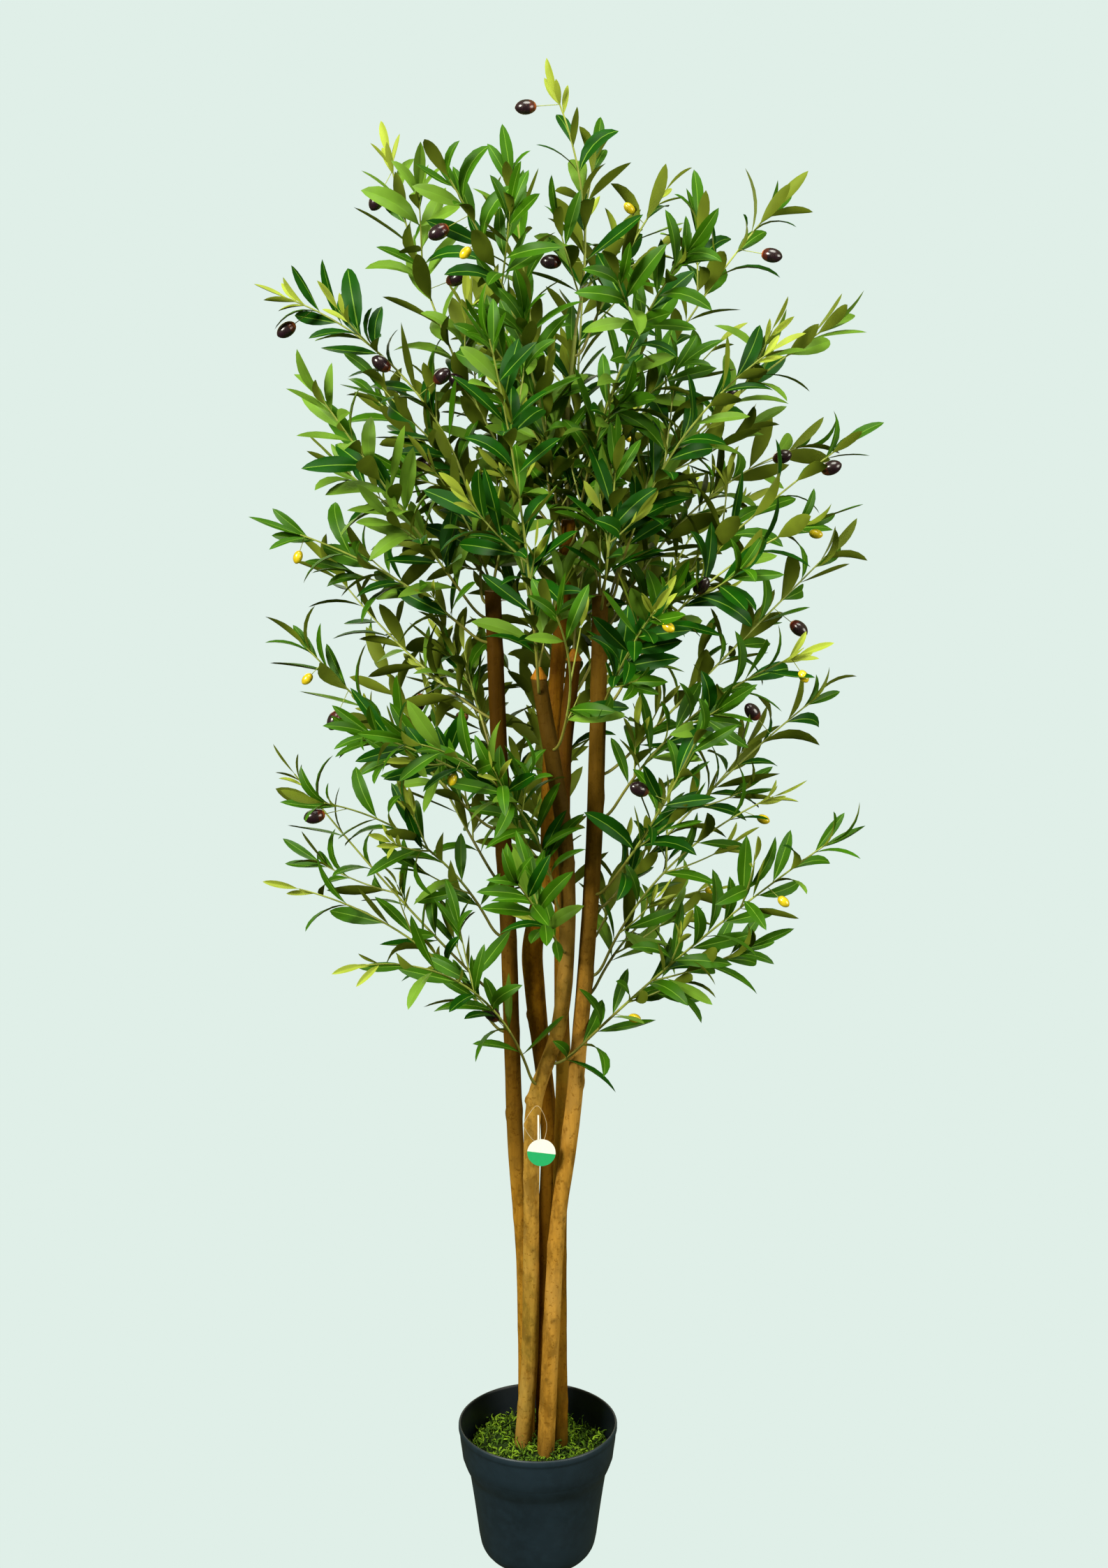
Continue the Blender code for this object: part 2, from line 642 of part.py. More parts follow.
def tube_mesh(line, root_radius, tip_radius, sides=3):
    """A tapered tube along a line, with flat ends."""
    bm = bmesh.new()
    rings = []
    across = None
    for i, centre in enumerate(line):
        before = line[max(i - 1, 0)]
        after = line[min(i + 1, len(line) - 1)]
        along = (line[1] - line[0] if i == 0 else after - before).normalized()
        if across is None:
            across = along.orthogonal().normalized()
        across = (across - along * across.dot(along)).normalized()
        up = along.cross(across)
        radius = root_radius + (tip_radius - root_radius) * i / (len(line) - 1)
        ring = []
        for k in range(sides):
            angle = 2 * math.pi * k / sides
            ring.append(bm.verts.new(centre + across * radius * math.cos(angle)
                                     + up * radius * math.sin(angle)))
        rings.append(ring)
    bridge_rings(bm, rings)
    bm.faces.new(reversed(rings[0]))
    bm.faces.new(rings[-1])
    return bm


def grow_olives(spray, stem, owner, space, draw):
    """Olives on short wires, hanging out and down from the stem."""
    found = []
    for share in spray.fruit:
        place, along = place_on(stem[1:], share)
        for _ in range(OLIVE_TRIES):
            side = side_way(along, draw.uniform(0, 2 * math.pi), 0)[1]
            way = (side + along * OLIVE_LEAN - Vector((0, 0, OLIVE_SAG))).normalized()
            centre = place + way * (OLIVE_WIRE + OLIVE_LENGTH / 2)
            ends = [centre + way * OLIVE_LENGTH / 2, centre - way * OLIVE_LENGTH / 2]
            if space.holds([centre, *ends], owner):
                found.append((place, centre, way))
                break
    return found


def olive_mesh(centre, way):
    bm = bmesh.new()
    bmesh.ops.create_icosphere(bm, subdivisions=1, radius=0.5)
    turn = Vector((0, 0, 1)).rotation_difference(way).to_matrix().to_4x4()
    size = Matrix.Diagonal((OLIVE_WIDTH, OLIVE_WIDTH, OLIVE_LENGTH, 1))
    bm.transform(Matrix.Translation(centre) @ turn @ size)
    return bm


def keep_largest_shell(mesh):
    """Drops loose scraps and sealed hollows, and returns the volume that is kept."""
    bm = bmesh.new()
    bm.from_mesh(mesh)
    bmesh.ops.triangulate(bm, faces=bm.faces)
    bmesh.ops.dissolve_degenerate(bm, dist=1e-7, edges=bm.edges)
    bmesh.ops.triangulate(bm, faces=bm.faces)
    left = set(bm.verts)
    shells = []
    while left:
        shell = {left.pop()}
        front = list(shell)
        while front:
            vert = front.pop()
            for edge in vert.link_edges:
                other = edge.other_vert(vert)
                if other in left:
                    left.remove(other)
                    shell.add(other)
                    front.append(other)
        shells.append(shell)
    largest = max(shells, key=len)
    scraps = [vert for vert in bm.verts if vert not in largest]
    bmesh.ops.delete(bm, geom=scraps, context="VERTS")
    bm.to_mesh(mesh)
    volume = bm.calc_volume(signed=False)
    closed = all(edge.is_manifold for edge in bm.edges)
    bm.free()
    return volume if closed else 0.0


def join_spray(spray, stem, twigs, leaves, olives):
    """Fuses a spray's stem, twigs, leaves and olives into one solid."""
    thing = new_object(spray.name, tube_mesh(stem, STEM_ROOT_RADIUS, STEM_TIP_RADIUS),
                       "plastic leaves")
    shapes = [tube_mesh(twig, STEM_TIP_RADIUS, TWIG_TIP_RADIUS) for twig in twigs]
    shapes += [make_leaf(points) for points in leaves]
    for place, centre, way in olives:
        shapes.append(tube_mesh([place, centre], OLIVE_WIRE_RADIUS, OLIVE_WIRE_RADIUS))
        shapes.append(olive_mesh(centre, way))
    operands = bpy.data.collections.new("shapes of " + spray.name)
    bpy.context.scene.collection.children.link(operands)
    whole = 0.0
    for bm in shapes:
        mesh = bpy.data.meshes.new("shape")
        whole += bm.calc_volume(signed=False)
        bm.to_mesh(mesh)
        bm.free()
        operands.objects.link(bpy.data.objects.new("shape", mesh))
    for solver in ("EXACT", "MANIFOLD"):
        result = apply_boolean(thing, operands, "UNION", solver)
        if keep_largest_shell(result) > whole * LEAST_KEPT:
            break
    thing.data = result
    remove_collection(operands)


def make_sprays(lines, faces):
    space = Space(lines.values())
    stems = []
    for owner, spray in enumerate(SPRAYS):
        stem = make_skeleton(spray, lines[spray.pole], faces[spray.pole])
        stems.append(stem)
        space.add(stem, owner)
    grown = []
    for owner, spray in enumerate(SPRAYS):
        draw = random.Random(spray.name)
        twigs = grow_twigs(spray, stems[owner], owner, space, draw)
        grown.append((draw, twigs))
    for owner, (_, twigs) in enumerate(grown):
        for twig in twigs:
            space.add(twig, owner)
    for owner, spray in enumerate(SPRAYS):
        draw, twigs = grown[owner]
        stem = stems[owner]
        taken = [tuple(p) for line in (stem, *twigs) for p in sample(line)]
        leaves = grow_leaves(stem[1:], BARE_SHARE, STEM_TIP_RADIUS, owner, space, taken, draw)
        for twig in twigs:
            leaves += grow_leaves(twig, TWIG_BARE_SHARE, TWIG_TIP_RADIUS, owner, space,
                                  taken, draw)
        olives = grow_olives(spray, stem, owner, space, draw)
        join_spray(spray, stem, twigs, leaves, olives)


def main():
    clear_scene()
    make_pot()
    filler = make_filling("filler", "cement",
                          (POT_WALL + GAP, POT_FOOT_HEIGHT, POT_NECK_HEIGHT, FILLER_TOP))
    moss = make_filling("moss", "preserved moss",
                        (FILLER_TOP + GAP, POT_BAND_BOTTOM, MOSS_HEIGHT),
                        MOSS_RINGS, MOSS_RELIEF)
    cut_pole_holes(filler)
    cut_pole_holes(moss)
    faces = make_poles()
    lines = {pole.name: smooth_line(pole.bends, POLE_RINGS) for pole in POLES}
    lines["leader"], faces["leader"] = make_leader()
    make_sprays(lines, faces)


main()
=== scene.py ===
"""Looks of the artificial olive tree in a nursery pot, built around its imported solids.

The file is laid out as an add-on: property groups hold the sizes and colours, each
operator makes one piece or group of like pieces, and a panel lists them.

Units are metres, +Z is up, and the origin is the middle of the pot's flat underside.
Seen from the front the view looks along +Y, with +X to the right.
"""
import functools
import json
import math
import random
from bisect import bisect_right
from collections import namedtuple

import bmesh
import bpy
import numpy as np
from bpy.props import FloatProperty, FloatVectorProperty, IntProperty, PointerProperty
from mathutils import Matrix, Vector, noise
from mathutils.bvhtree import BVHTree

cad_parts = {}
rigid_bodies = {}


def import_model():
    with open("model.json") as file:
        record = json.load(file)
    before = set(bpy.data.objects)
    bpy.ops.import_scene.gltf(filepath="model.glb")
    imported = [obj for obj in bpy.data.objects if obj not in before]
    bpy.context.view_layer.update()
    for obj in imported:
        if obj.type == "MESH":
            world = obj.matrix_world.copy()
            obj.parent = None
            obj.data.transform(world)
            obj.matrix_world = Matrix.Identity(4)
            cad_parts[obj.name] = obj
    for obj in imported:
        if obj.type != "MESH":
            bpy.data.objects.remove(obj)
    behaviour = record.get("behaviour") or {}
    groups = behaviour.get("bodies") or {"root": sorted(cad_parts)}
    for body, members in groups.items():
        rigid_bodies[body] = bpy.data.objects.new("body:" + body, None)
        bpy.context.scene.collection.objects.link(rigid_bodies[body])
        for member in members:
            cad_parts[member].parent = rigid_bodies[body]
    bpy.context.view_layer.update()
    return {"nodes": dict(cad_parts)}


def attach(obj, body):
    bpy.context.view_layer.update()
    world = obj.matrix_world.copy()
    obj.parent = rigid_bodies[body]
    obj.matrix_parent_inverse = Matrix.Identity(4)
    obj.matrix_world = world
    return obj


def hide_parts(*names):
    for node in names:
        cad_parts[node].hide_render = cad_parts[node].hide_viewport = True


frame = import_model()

bl_info = {
    "name": "Artificial olive tree",
    "version": (1, 0, 0),
    "blender": (4, 5, 0),
    "location": "3D View > Sidebar > Olive Tree",
    "description": "Makes the pot, moss, poles, sprays, olives and tag of an olive tree",
    "category": "Object",
}

ROOT = "root"

# What the growth rule shares with the solids. A share is of a stem's or a leaf's
# length, and an angle is in degrees.
POLE_RINGS = 13
POLE_SOCKET_FLOOR = 0.02
PLUG_LENGTH = 0.007
TOP_SEAT_DEPTH = 0.001
COARSE_SEGMENTS = 5
TWIG_SEGMENTS = 2
BARE_SHARE = 0.26
LAST_TWIG_SHARE = 0.92
TWIG_PITCH = 0.19
TWIG_START = 0.35
TWIG_REACH = 0.36
TWIG_TAPER = 0.22
TWIG_SIZES = (0.85, 1.15)
TWIG_SPREAD = (36, 50)
TWIG_PULL = 0.16
TWIG_TRIES = 5
SAMPLE_PITCH = 0.008
SPACE_MARGIN = 0.0015
LIMB_CLEARANCE = 0.0145
MIN_ACROSS = 0.05
GOLDEN_ANGLE = math.radians(137.5)
LEADER_REACH = (0.007, 0.0, 0.207)
LEADER_BOW = 0.006
LEADER_RINGS = 7
GAP = 0.0003
CURVE_STEPS = 12

Pole = namedtuple("Pole", "name foot_radius top_radius has_cone bends")
POLES = (
    Pole("left", 0.0103, 0.0092, False, (
        (-0.014, 0.024, 0.150), (-0.016, 0.016, 0.373), (-0.027, 0.013, 0.544),
        (-0.034, 0.008, 0.808), (-0.041, 0.005, 0.955), (-0.050, 0.000, 1.209))),
    Pole("front", 0.0104, 0.0088, True, (
        (-0.018, 0.000, 0.150), (-0.009, -0.014, 0.290), (-0.007, -0.028, 0.520),
        (-0.006, -0.029, 0.580), (0.000, -0.030, 0.622), (0.010, -0.030, 0.650),
        (0.025, -0.032, 0.698), (0.033, -0.034, 0.765), (0.036, -0.037, 0.850),
        (0.032, -0.040, 0.935), (0.022, -0.042, 1.000), (0.003, -0.045, 1.115))),
    Pole("middle", 0.0112, 0.0084, False, (
        (0.009, 0.028, 0.150), (0.007, 0.041, 0.347), (0.014, 0.042, 0.530),
        (0.004, 0.042, 0.648), (-0.003, 0.042, 0.720), (-0.006, 0.042, 0.772),
        (0.003, 0.042, 0.825), (0.013, 0.042, 0.875), (0.014, 0.042, 0.950),
        (0.018, 0.042, 1.030), (0.037, 0.042, 1.286))),
    Pole("back", 0.0102, 0.0080, True, (
        (0.027, 0.005, 0.150), (0.026, 0.017, 0.400), (0.031, 0.018, 0.620),
        (0.029, 0.017, 0.720), (0.030, 0.016, 0.920), (0.032, 0.016, 1.014),
        (0.043, 0.018, 1.126))),
    Pole("right", 0.0104, 0.0090, False, (
        (0.010, -0.020, 0.150), (0.016, -0.027, 0.290), (0.024, -0.026, 0.445),
        (0.037, -0.026, 0.547), (0.047, -0.025, 0.646), (0.064, -0.023, 0.870),
        (0.070, -0.022, 1.060), (0.072, -0.020, 1.207))),
)

Spray = namedtuple("Spray", "name group pole height heading rise length bend sweep")

# The sprays of each group, in the order of their numbers. Angles are in degrees.
SPRAY_ROWS = {"top": (
    ("leader", 1.493, -162, 104, 0.255, -38, 1),
    ("leader", 1.470, 32, 66, 0.215, -14, -5),
    ("middle", 1.270, 176, 54, 0.46, 24, -3),
    ("middle", 1.262, -115, 78, 0.44, -29, -20),
    ("middle", 1.256, -62, 74, 0.40, -38, 4),
    ("middle", 1.240, 4, 74, 0.45, -26, 2),
    ("middle", 1.272, 80, 72, 0.42, -18, 6),
    ("middle", 1.228, -138, 84, 0.435, -6, 4),
), "right": (
    ("middle", 1.215, -9, 58, 0.4, -24, 3),
    ("right", 1.195, -29, 80, 0.35, -48, -5),
    ("right", 1.188, 57, 66, 0.25, -23, -11),
    ("right", 1.120, 62, 24, 0.32, 25, -9),
    ("right", 1.150, 4, 45, 0.335, -8, 0),
    ("right", 1.168, 36, 59, 0.34, -45, -10),
    ("right", 1.080, -13, 65, 0.315, -42, -1),
    ("right", 1.000, 17, 43, 0.365, -4, 10),
    ("right", 0.950, -30, 61, 0.305, -37, 12),
    ("right", 0.840, 9, 51, 0.345, -14, 3),
    ("right", 0.760, -10, 71, 0.305, -46, 7),
    ("right", 0.735, 41, 58, 0.22, -62, -3),
    ("front", 0.655, -23, 48, 0.435, -9, 2),
    ("right", 0.800, 71, 12, 0.17, 32, 6),
), "left": (
    ("left", 1.195, 176, 96, 0.43, -76, -2),
    ("left", 1.178, -148, 52, 0.32, -1, 6),
    ("middle", 1.210, 158, 47, 0.30, -7, 2),
    ("left", 1.150, -169, 44, 0.24, -24, -5),
    ("left", 1.209, 126, 33, 0.18, -24, 1),
    ("left", 1.060, 142, 23, 0.29, 19, 0),
    ("left", 0.930, -173, 46, 0.30, 1, 0),
    ("left", 0.980, -138, 32, 0.21, -12, 8),
    ("front", 0.840, -132, 80, 0.33, -65, -13),
    ("left", 1.010, 118, 60, 0.20, -24, 4),
    ("left", 0.720, 173, 44, 0.36, 9, 4),
    ("left", 0.800, -147, 65, 0.30, -49, 0),
    ("left", 0.680, -171, 61, 0.305, -44, 1),
    ("front", 0.630, -134, 72, 0.335, -66, -4),
), "front": (
    ("front", 1.100, -105, 78, 0.42, -18, -7),
    ("right", 1.192, -80, 60, 0.18, 13, 1),
    ("right", 1.075, -75, 42, 0.24, -12, 1),
    ("right", 0.860, -48, 47, 0.27, 8, -13),
    ("front", 1.035, -64, 56, 0.22, -7, -54),
    ("front", 0.795, -105, 36, 0.24, -3, 0),
), "back": (
    ("middle", 1.235, 103, 52, 0.44, -15, 8),
    ("middle", 1.150, 78, 45, 0.42, -20, -6),
    ("middle", 1.120, 128, 48, 0.42, -10, 6),
    ("back", 1.085, 62, 40, 0.40, -12, 5),
    ("middle", 0.950, 95, 38, 0.40, -6, -8),
    ("back", 0.950, 84, 50, 0.38, -25, 6),
    ("middle", 0.850, 112, 45, 0.40, -12, 4),
    ("left", 0.860, 128, 40, 0.36, 4, -6),
    ("back", 0.780, 92, 40, 0.36, -10, 8),
)}
GROUPS = tuple(SPRAY_ROWS)
SPRAYS = [Spray(f"{group}_spray_{number}", group, *row)
          for group, rows in SPRAY_ROWS.items() for number, row in enumerate(rows, 1)]

# By spray, the share of the stem that an olive leaves from, the heading and rise of its
# wire in degrees, and if it is ripe and dark.
OLIVES = {
    "top_spray_1": ((0.97, 188, -5, True), (0.32, 185, 0, True)),
    "top_spray_2": ((0.80, 185, 45, False),),
    "top_spray_3": ((0.97, 200, -60, True), (0.68, -25, 18, True), (0.38, 215, 45, True)),
    "top_spray_4": ((0.90, 195, -28, True), (0.84, 200, -45, False)),
    "top_spray_6": ((0.88, -15, -10, True),),
    "right_spray_1": ((0.60, -30, 45, True),),
    "right_spray_4": ((0.32, 230, 60, False),),
    "right_spray_5": ((0.84, -15, 20, True),),
    "right_spray_6": ((0.80, -30, 20, True),),
    "right_spray_7": ((0.94, -20, -10, False), (0.46, -40, 45, True)),
    "right_spray_8": ((0.76, -25, -35, True),),
    "right_spray_9": ((0.98, -35, -50, False),),
    "right_spray_10": ((0.82, 200, 50, True),),
    "right_spray_11": ((0.88, -20, -18, False),),
    "right_spray_12": ((0.88, -20, 15, False),),
    "right_spray_13": ((0.80, -30, -35, False), (0.24, -20, -5, False)),
    "left_spray_1": ((0.93, 190, -35, True), (0.42, 200, -25, True),
                     (0.58, -30, 35, True), (0.62, 195, 35, True)),
    "left_spray_4": ((0.98, 200, -70, False),),
    "left_spray_6": ((0.36, 210, -65, True),),
    "left_spray_7": ((0.92, 195, -45, False), (0.78, 215, -60, True)),
    "left_spray_9": ((0.78, 215, -60, False),),
    "left_spray_12": ((0.90, 195, -10, True),),
    "left_spray_14": ((0.25, 200, 50, True),),
    "front_spray_3": ((0.95, -40, -25, False),),
    "front_spray_4": ((0.66, 210, 25, True),),
    "back_spray_1": ((0.86, 100, -30, True),),
    "back_spray_2": ((0.90, 60, -20, False),),
    "back_spray_5": ((0.88, 80, -40, True),),
    "back_spray_7": ((0.70, 120, -30, True),),
    "back_spray_9": ((0.86, 60, -30, False),),
}

# Leaf tones, the parts of a leaf, and the material of each part in each tone
DEEP, MID, FRESH, YOUNG = range(4)
TOP, RIB, UNDER = range(3)
LEAF_LABELS = (("Deep", "Rib", "Under"), ("Mid", "Rib", "Under"), ("Fresh", "Rib", "Under"),
               ("Young", "Young", "Young"))


# Settings

COLOUR = {"size": 3, "subtype": "COLOR", "min": 0, "max": 1}


class OliveTreePot(bpy.types.PropertyGroup):
    """Sizes and colour of the nursery pot."""

    sides: IntProperty(name="Sides", description="Faces round the pot", default=96)
    colour: FloatVectorProperty(
        name="Colour", description="Moulded plastic", default=(0.0090, 0.0195, 0.0320), **COLOUR)


class OliveTreeMoss(bpy.types.PropertyGroup):
    """Sizes and colours of the moss."""

    height: FloatProperty(
        name="Height", description="Level of the moss above the ground", default=0.139,
        unit="LENGTH")
    relief: FloatProperty(
        name="Relief", description="How high its lumps are", default=0.016, unit="LENGTH")
    density: FloatProperty(
        name="Density", description="Fibres on each square metre", default=42000.0)
    fibre: FloatProperty(
        name="Fibre", description="Length of a fibre's curl", default=0.0190, unit="LENGTH")
    light: FloatVectorProperty(
        name="Light", description="Bright fibres", default=(0.175, 0.310, 0.014), **COLOUR)
    middle: FloatVectorProperty(
        name="Middle", description="Most fibres", default=(0.062, 0.135, 0.006), **COLOUR)
    # The bed's dark tone is painted shade in the gaps between the fibres; the darkest fibres share
    # it.
    dark: FloatVectorProperty(
        name="Dark", description="The bed under the fibres", default=(0.012, 0.028, 0.002),
        **COLOUR)


class OliveTreeWood(bpy.types.PropertyGroup):
    """Relief and colours of the poles."""

    sides: IntProperty(name="Sides", description="Faces round a pole", default=36)
    ring_pitch: FloatProperty(
        name="Ring pitch", description="Height between two rings of faces", default=0.0042,
        unit="LENGTH")
    ridge: FloatProperty(
        name="Ridge", description="Depth of the long ridges", default=0.0007, unit="LENGTH")
    golden: FloatVectorProperty(
        name="Golden", description="Bark of the poles in front", default=(0.425, 0.236, 0.037),
        **COLOUR)
    orange: FloatVectorProperty(
        name="Orange", description="Bark of the right pole", default=(0.415, 0.213, 0.029),
        **COLOUR)
    # Partly the darker wood of the poles behind, partly painted shade for their place behind the
    # others.
    brown: FloatVectorProperty(
        name="Brown", description="Bark of the poles behind", default=(0.40, 0.185, 0.010),
        **COLOUR)
    cone: FloatVectorProperty(
        name="Cone", description="The stained cones on two poles", default=(0.38, 0.150, 0.008),
        **COLOUR)


class OliveTreeLeaves(bpy.types.PropertyGroup):
    """Sizes and colours of the stems and leaves."""

    length: FloatProperty(
        name="Length", description="A full leaf's length", default=0.0725, unit="LENGTH")
    width: FloatProperty(
        name="Width", description="A full leaf's width", default=0.0168, unit="LENGTH")
    pitch: FloatProperty(
        name="Pitch", description="Along a stem, between pairs of leaves", default=0.0260,
        unit="LENGTH")
    shoot_pitch: FloatProperty(
        name="Shoot pitch", description="Along a stem, between short side shoots", default=0.085,
        unit="LENGTH")
    deep: FloatVectorProperty(
        name="Deep", description="Darkest upper sides", default=(0.005, 0.054, 0.0004), **COLOUR)
    mid: FloatVectorProperty(
        name="Mid", description="Most upper sides", default=(0.030, 0.108, 0.0012), **COLOUR)
    fresh: FloatVectorProperty(
        name="Fresh", description="Lightest upper sides", default=(0.108, 0.218, 0.018), **COLOUR)
    young: FloatVectorProperty(
        name="Young", description="Leaves at the tips", default=(0.27, 0.34, 0.034), **COLOUR)
    rib: FloatVectorProperty(
        name="Rib", description="Midribs", default=(0.12, 0.25, 0.020), **COLOUR)
    under: FloatVectorProperty(
        name="Under", description="Undersides", default=(0.128, 0.174, 0.012), **COLOUR)
    stem: FloatVectorProperty(
        name="Stem", description="Young stems", default=(0.30, 0.36, 0.060), **COLOUR)
    old_stem: FloatVectorProperty(
        name="Old stem", description="The thick end of a stem", default=(0.20, 0.20, 0.030),
        **COLOUR)


class OliveTreeOlives(bpy.types.PropertyGroup):
    """Sizes and colours of the olives."""

    length: FloatProperty(
        name="Length", description="A ripe olive's length", default=0.0235, unit="LENGTH")
    width: FloatProperty(
        name="Width", description="A ripe olive's width", default=0.0165, unit="LENGTH")
    wire: FloatProperty(
        name="Wire", description="From the stem to an olive", default=0.026, unit="LENGTH")
    dark: FloatVectorProperty(
        name="Dark", description="Ripe olives", default=(0.014, 0.004, 0.010), **COLOUR)
    turning: FloatVectorProperty(
        name="Turning", description="Between a ripe olive's body and stem end",
        default=(0.065, 0.010, 0.008), **COLOUR)
    blush: FloatVectorProperty(
        name="Blush", description="The stem end of a ripe olive", default=(0.30, 0.055, 0.010),
        **COLOUR)
    yellow: FloatVectorProperty(
        name="Yellow", description="Small olives", default=(0.66, 0.50, 0.012), **COLOUR)


class OliveTreeTag(bpy.types.PropertyGroup):
    """Sizes and colours of the hang tag."""

    radius: FloatProperty(
        name="Radius", description="Half the tag's width", default=0.0168, unit="LENGTH")
    thickness: FloatProperty(
        name="Thickness", description="Thickness of the card", default=0.0008, unit="LENGTH")
    place: FloatVectorProperty(
        name="Place", description="The tag's middle", size=3, subtype="XYZ", unit="LENGTH",
        default=(0.0051, -0.047, 0.5492))
    tilt: FloatProperty(
        name="Tilt", description="How far the tag leans to the right", default=math.radians(7),
        subtype="ANGLE")
    white: FloatVectorProperty(
        name="White", description="Upper half", default=(0.86, 0.87, 0.83), **COLOUR)
    green: FloatVectorProperty(
        name="Green", description="Lower half", default=(0.012, 0.38, 0.13), **COLOUR)


class OliveTreeStage(bpy.types.PropertyGroup):
    """Camera, light and background."""

    camera: FloatVectorProperty(
        name="Camera", description="Where the camera stands", size=3, subtype="XYZ", unit="LENGTH",
        default=(0.020, -2.4, 1.5))
    pitch: FloatProperty(
        name="Pitch", description="How far the camera looks down", default=math.radians(12.12),
        subtype="ANGLE")
    lens: FloatProperty(
        name="Lens", description="Focal length on a 36 mm sensor, in mm", default=48.59)
    sky: FloatProperty(
        name="Sky", description="Strength of the light from all round", default=0.34)
    key: FloatProperty(name="Key", description="Power of the main light, in watts", default=212.0)
    background: FloatVectorProperty(
        name="Background", description="Pale surroundings", default=(0.745, 0.863, 0.807),
        **COLOUR)


SETTINGS = {
    "olive_tree_pot": OliveTreePot,
    "olive_tree_moss": OliveTreeMoss,
    "olive_tree_wood": OliveTreeWood,
    "olive_tree_leaves": OliveTreeLeaves,
    "olive_tree_olives": OliveTreeOlives,
    "olive_tree_tag": OliveTreeTag,
    "olive_tree_stage": OliveTreeStage,
}


# Pieces and meshes

def mesh_from(name, bm, outward=False):
    """A mesh with bm's faces, turned to the outside if asked."""
    if outward:
        bmesh.ops.recalc_face_normals(bm, faces=bm.faces)
    mesh = bpy.data.meshes.new(name)
    bm.to_mesh(mesh)
    bm.free()
    return mesh


def add_object(name, data):
    thing = bpy.data.objects.new(name, data)
    bpy.context.scene.collection.objects.link(thing)
    return thing


def new_piece(name, mesh, nodes=()):
    """A finished piece of the tree, which takes the place of the named nodes."""
    if not mesh.polygons:
        raise RuntimeError(f"{name} came out empty")
    piece = add_object(name, mesh)
    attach(piece, ROOT)
    if nodes:
        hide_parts(*nodes)


def smooth(mesh, sharp):
    """Smooth shading, except at edges over sharp degrees."""
    mesh.shade_smooth()
    mesh.set_sharp_from_angle(angle=math.radians(sharp))


def bridge_rings(bm, rings):
    """Quads between each ring of vertices and the next."""
    faces = []
    for low, high in zip(rings, rings[1:]):
        for i in range(len(low)):
            j = (i + 1) % len(low)
            faces.append(bm.faces.new((low[i], low[j], high[j], high[i])))
    return faces


def close_ends(bm, rings):
    """A face across the first ring and one across the last, which is returned."""
    bm.faces.new(reversed(rings[0]))
    return bm.faces.new(rings[-1])


def circle(sides):
    """The cosine and sine of each corner's angle."""
    angles = [2 * math.pi * i / sides for i in range(sides)]
    return [(math.cos(angle), math.sin(angle)) for angle in angles]


def ring_round(bm, centre, across, up, radius, sides):
    """A ring of vertices round a centre, from across towards up."""
    return [bm.verts.new(centre + (across * c + up * s) * radius) for c, s in circle(sides)]


def lathe(profile, sides):
    """A closed solid turned about Z, from its lower middle up the outside and round."""
    bm = bmesh.new()
    rings = [[bm.verts.new((radius * c, radius * s, height)) for c, s in circle(sides)]
             for radius, height in profile]
    bridge_rings(bm, rings)
    close_ends(bm, rings)
    return bm


def closed_tube(points, radius, sides):
    """A ring of round section through points that end where they begin."""
    bm = bmesh.new()
    rings = []
    for before, centre, after in zip(points[-1:] + points, points, points[1:] + points[:1]):
        along = (after - before).normalized()
        across = along.cross(Vector((0, 1, 0))).normalized()
        rings.append(ring_round(bm, centre, across, along.cross(across), radius, sides))
    bridge_rings(bm, rings + rings[:1])
    return bm


# Materials

class Nodes:
    """A node tree under way, with short calls that add and link nodes."""

    def __init__(self, tree):
        self.nodes = tree.nodes
        self.links = tree.links

    def feed(self, socket, value):
        """Links a socket to another one, or gives it a value."""
        if isinstance(value, bpy.types.NodeSocket):
            self.links.new(value, socket)
        else:
            socket.default_value = value

    def add(self, kind, sockets=None, **settings):
        """A new node with its settings, and its sockets fed."""
        node = self.nodes.new(kind)
        for key, value in settings.items():
            setattr(node, key, value)
        for socket, value in (sockets or {}).items():
            self.feed(node.inputs[socket], value)
        return node

    def out(self, kind, output, sockets=None, **settings):
        """One output of a new node."""
        return self.add(kind, sockets, **settings).outputs[output]

    def math(self, operation, first, second):
        return self.out("ShaderNodeMath", "Value", {0: first, 1: second},
                        operation=operation)

    def band(self, value, low, high, first=0.0, last=1.0):
        """The value's stretch from low to high, as first to last."""
        return self.out("ShaderNodeMapRange", "Result", {
            "Value": value, "From Min": low, "From Max": high, "To Min": first,
            "To Max": last})


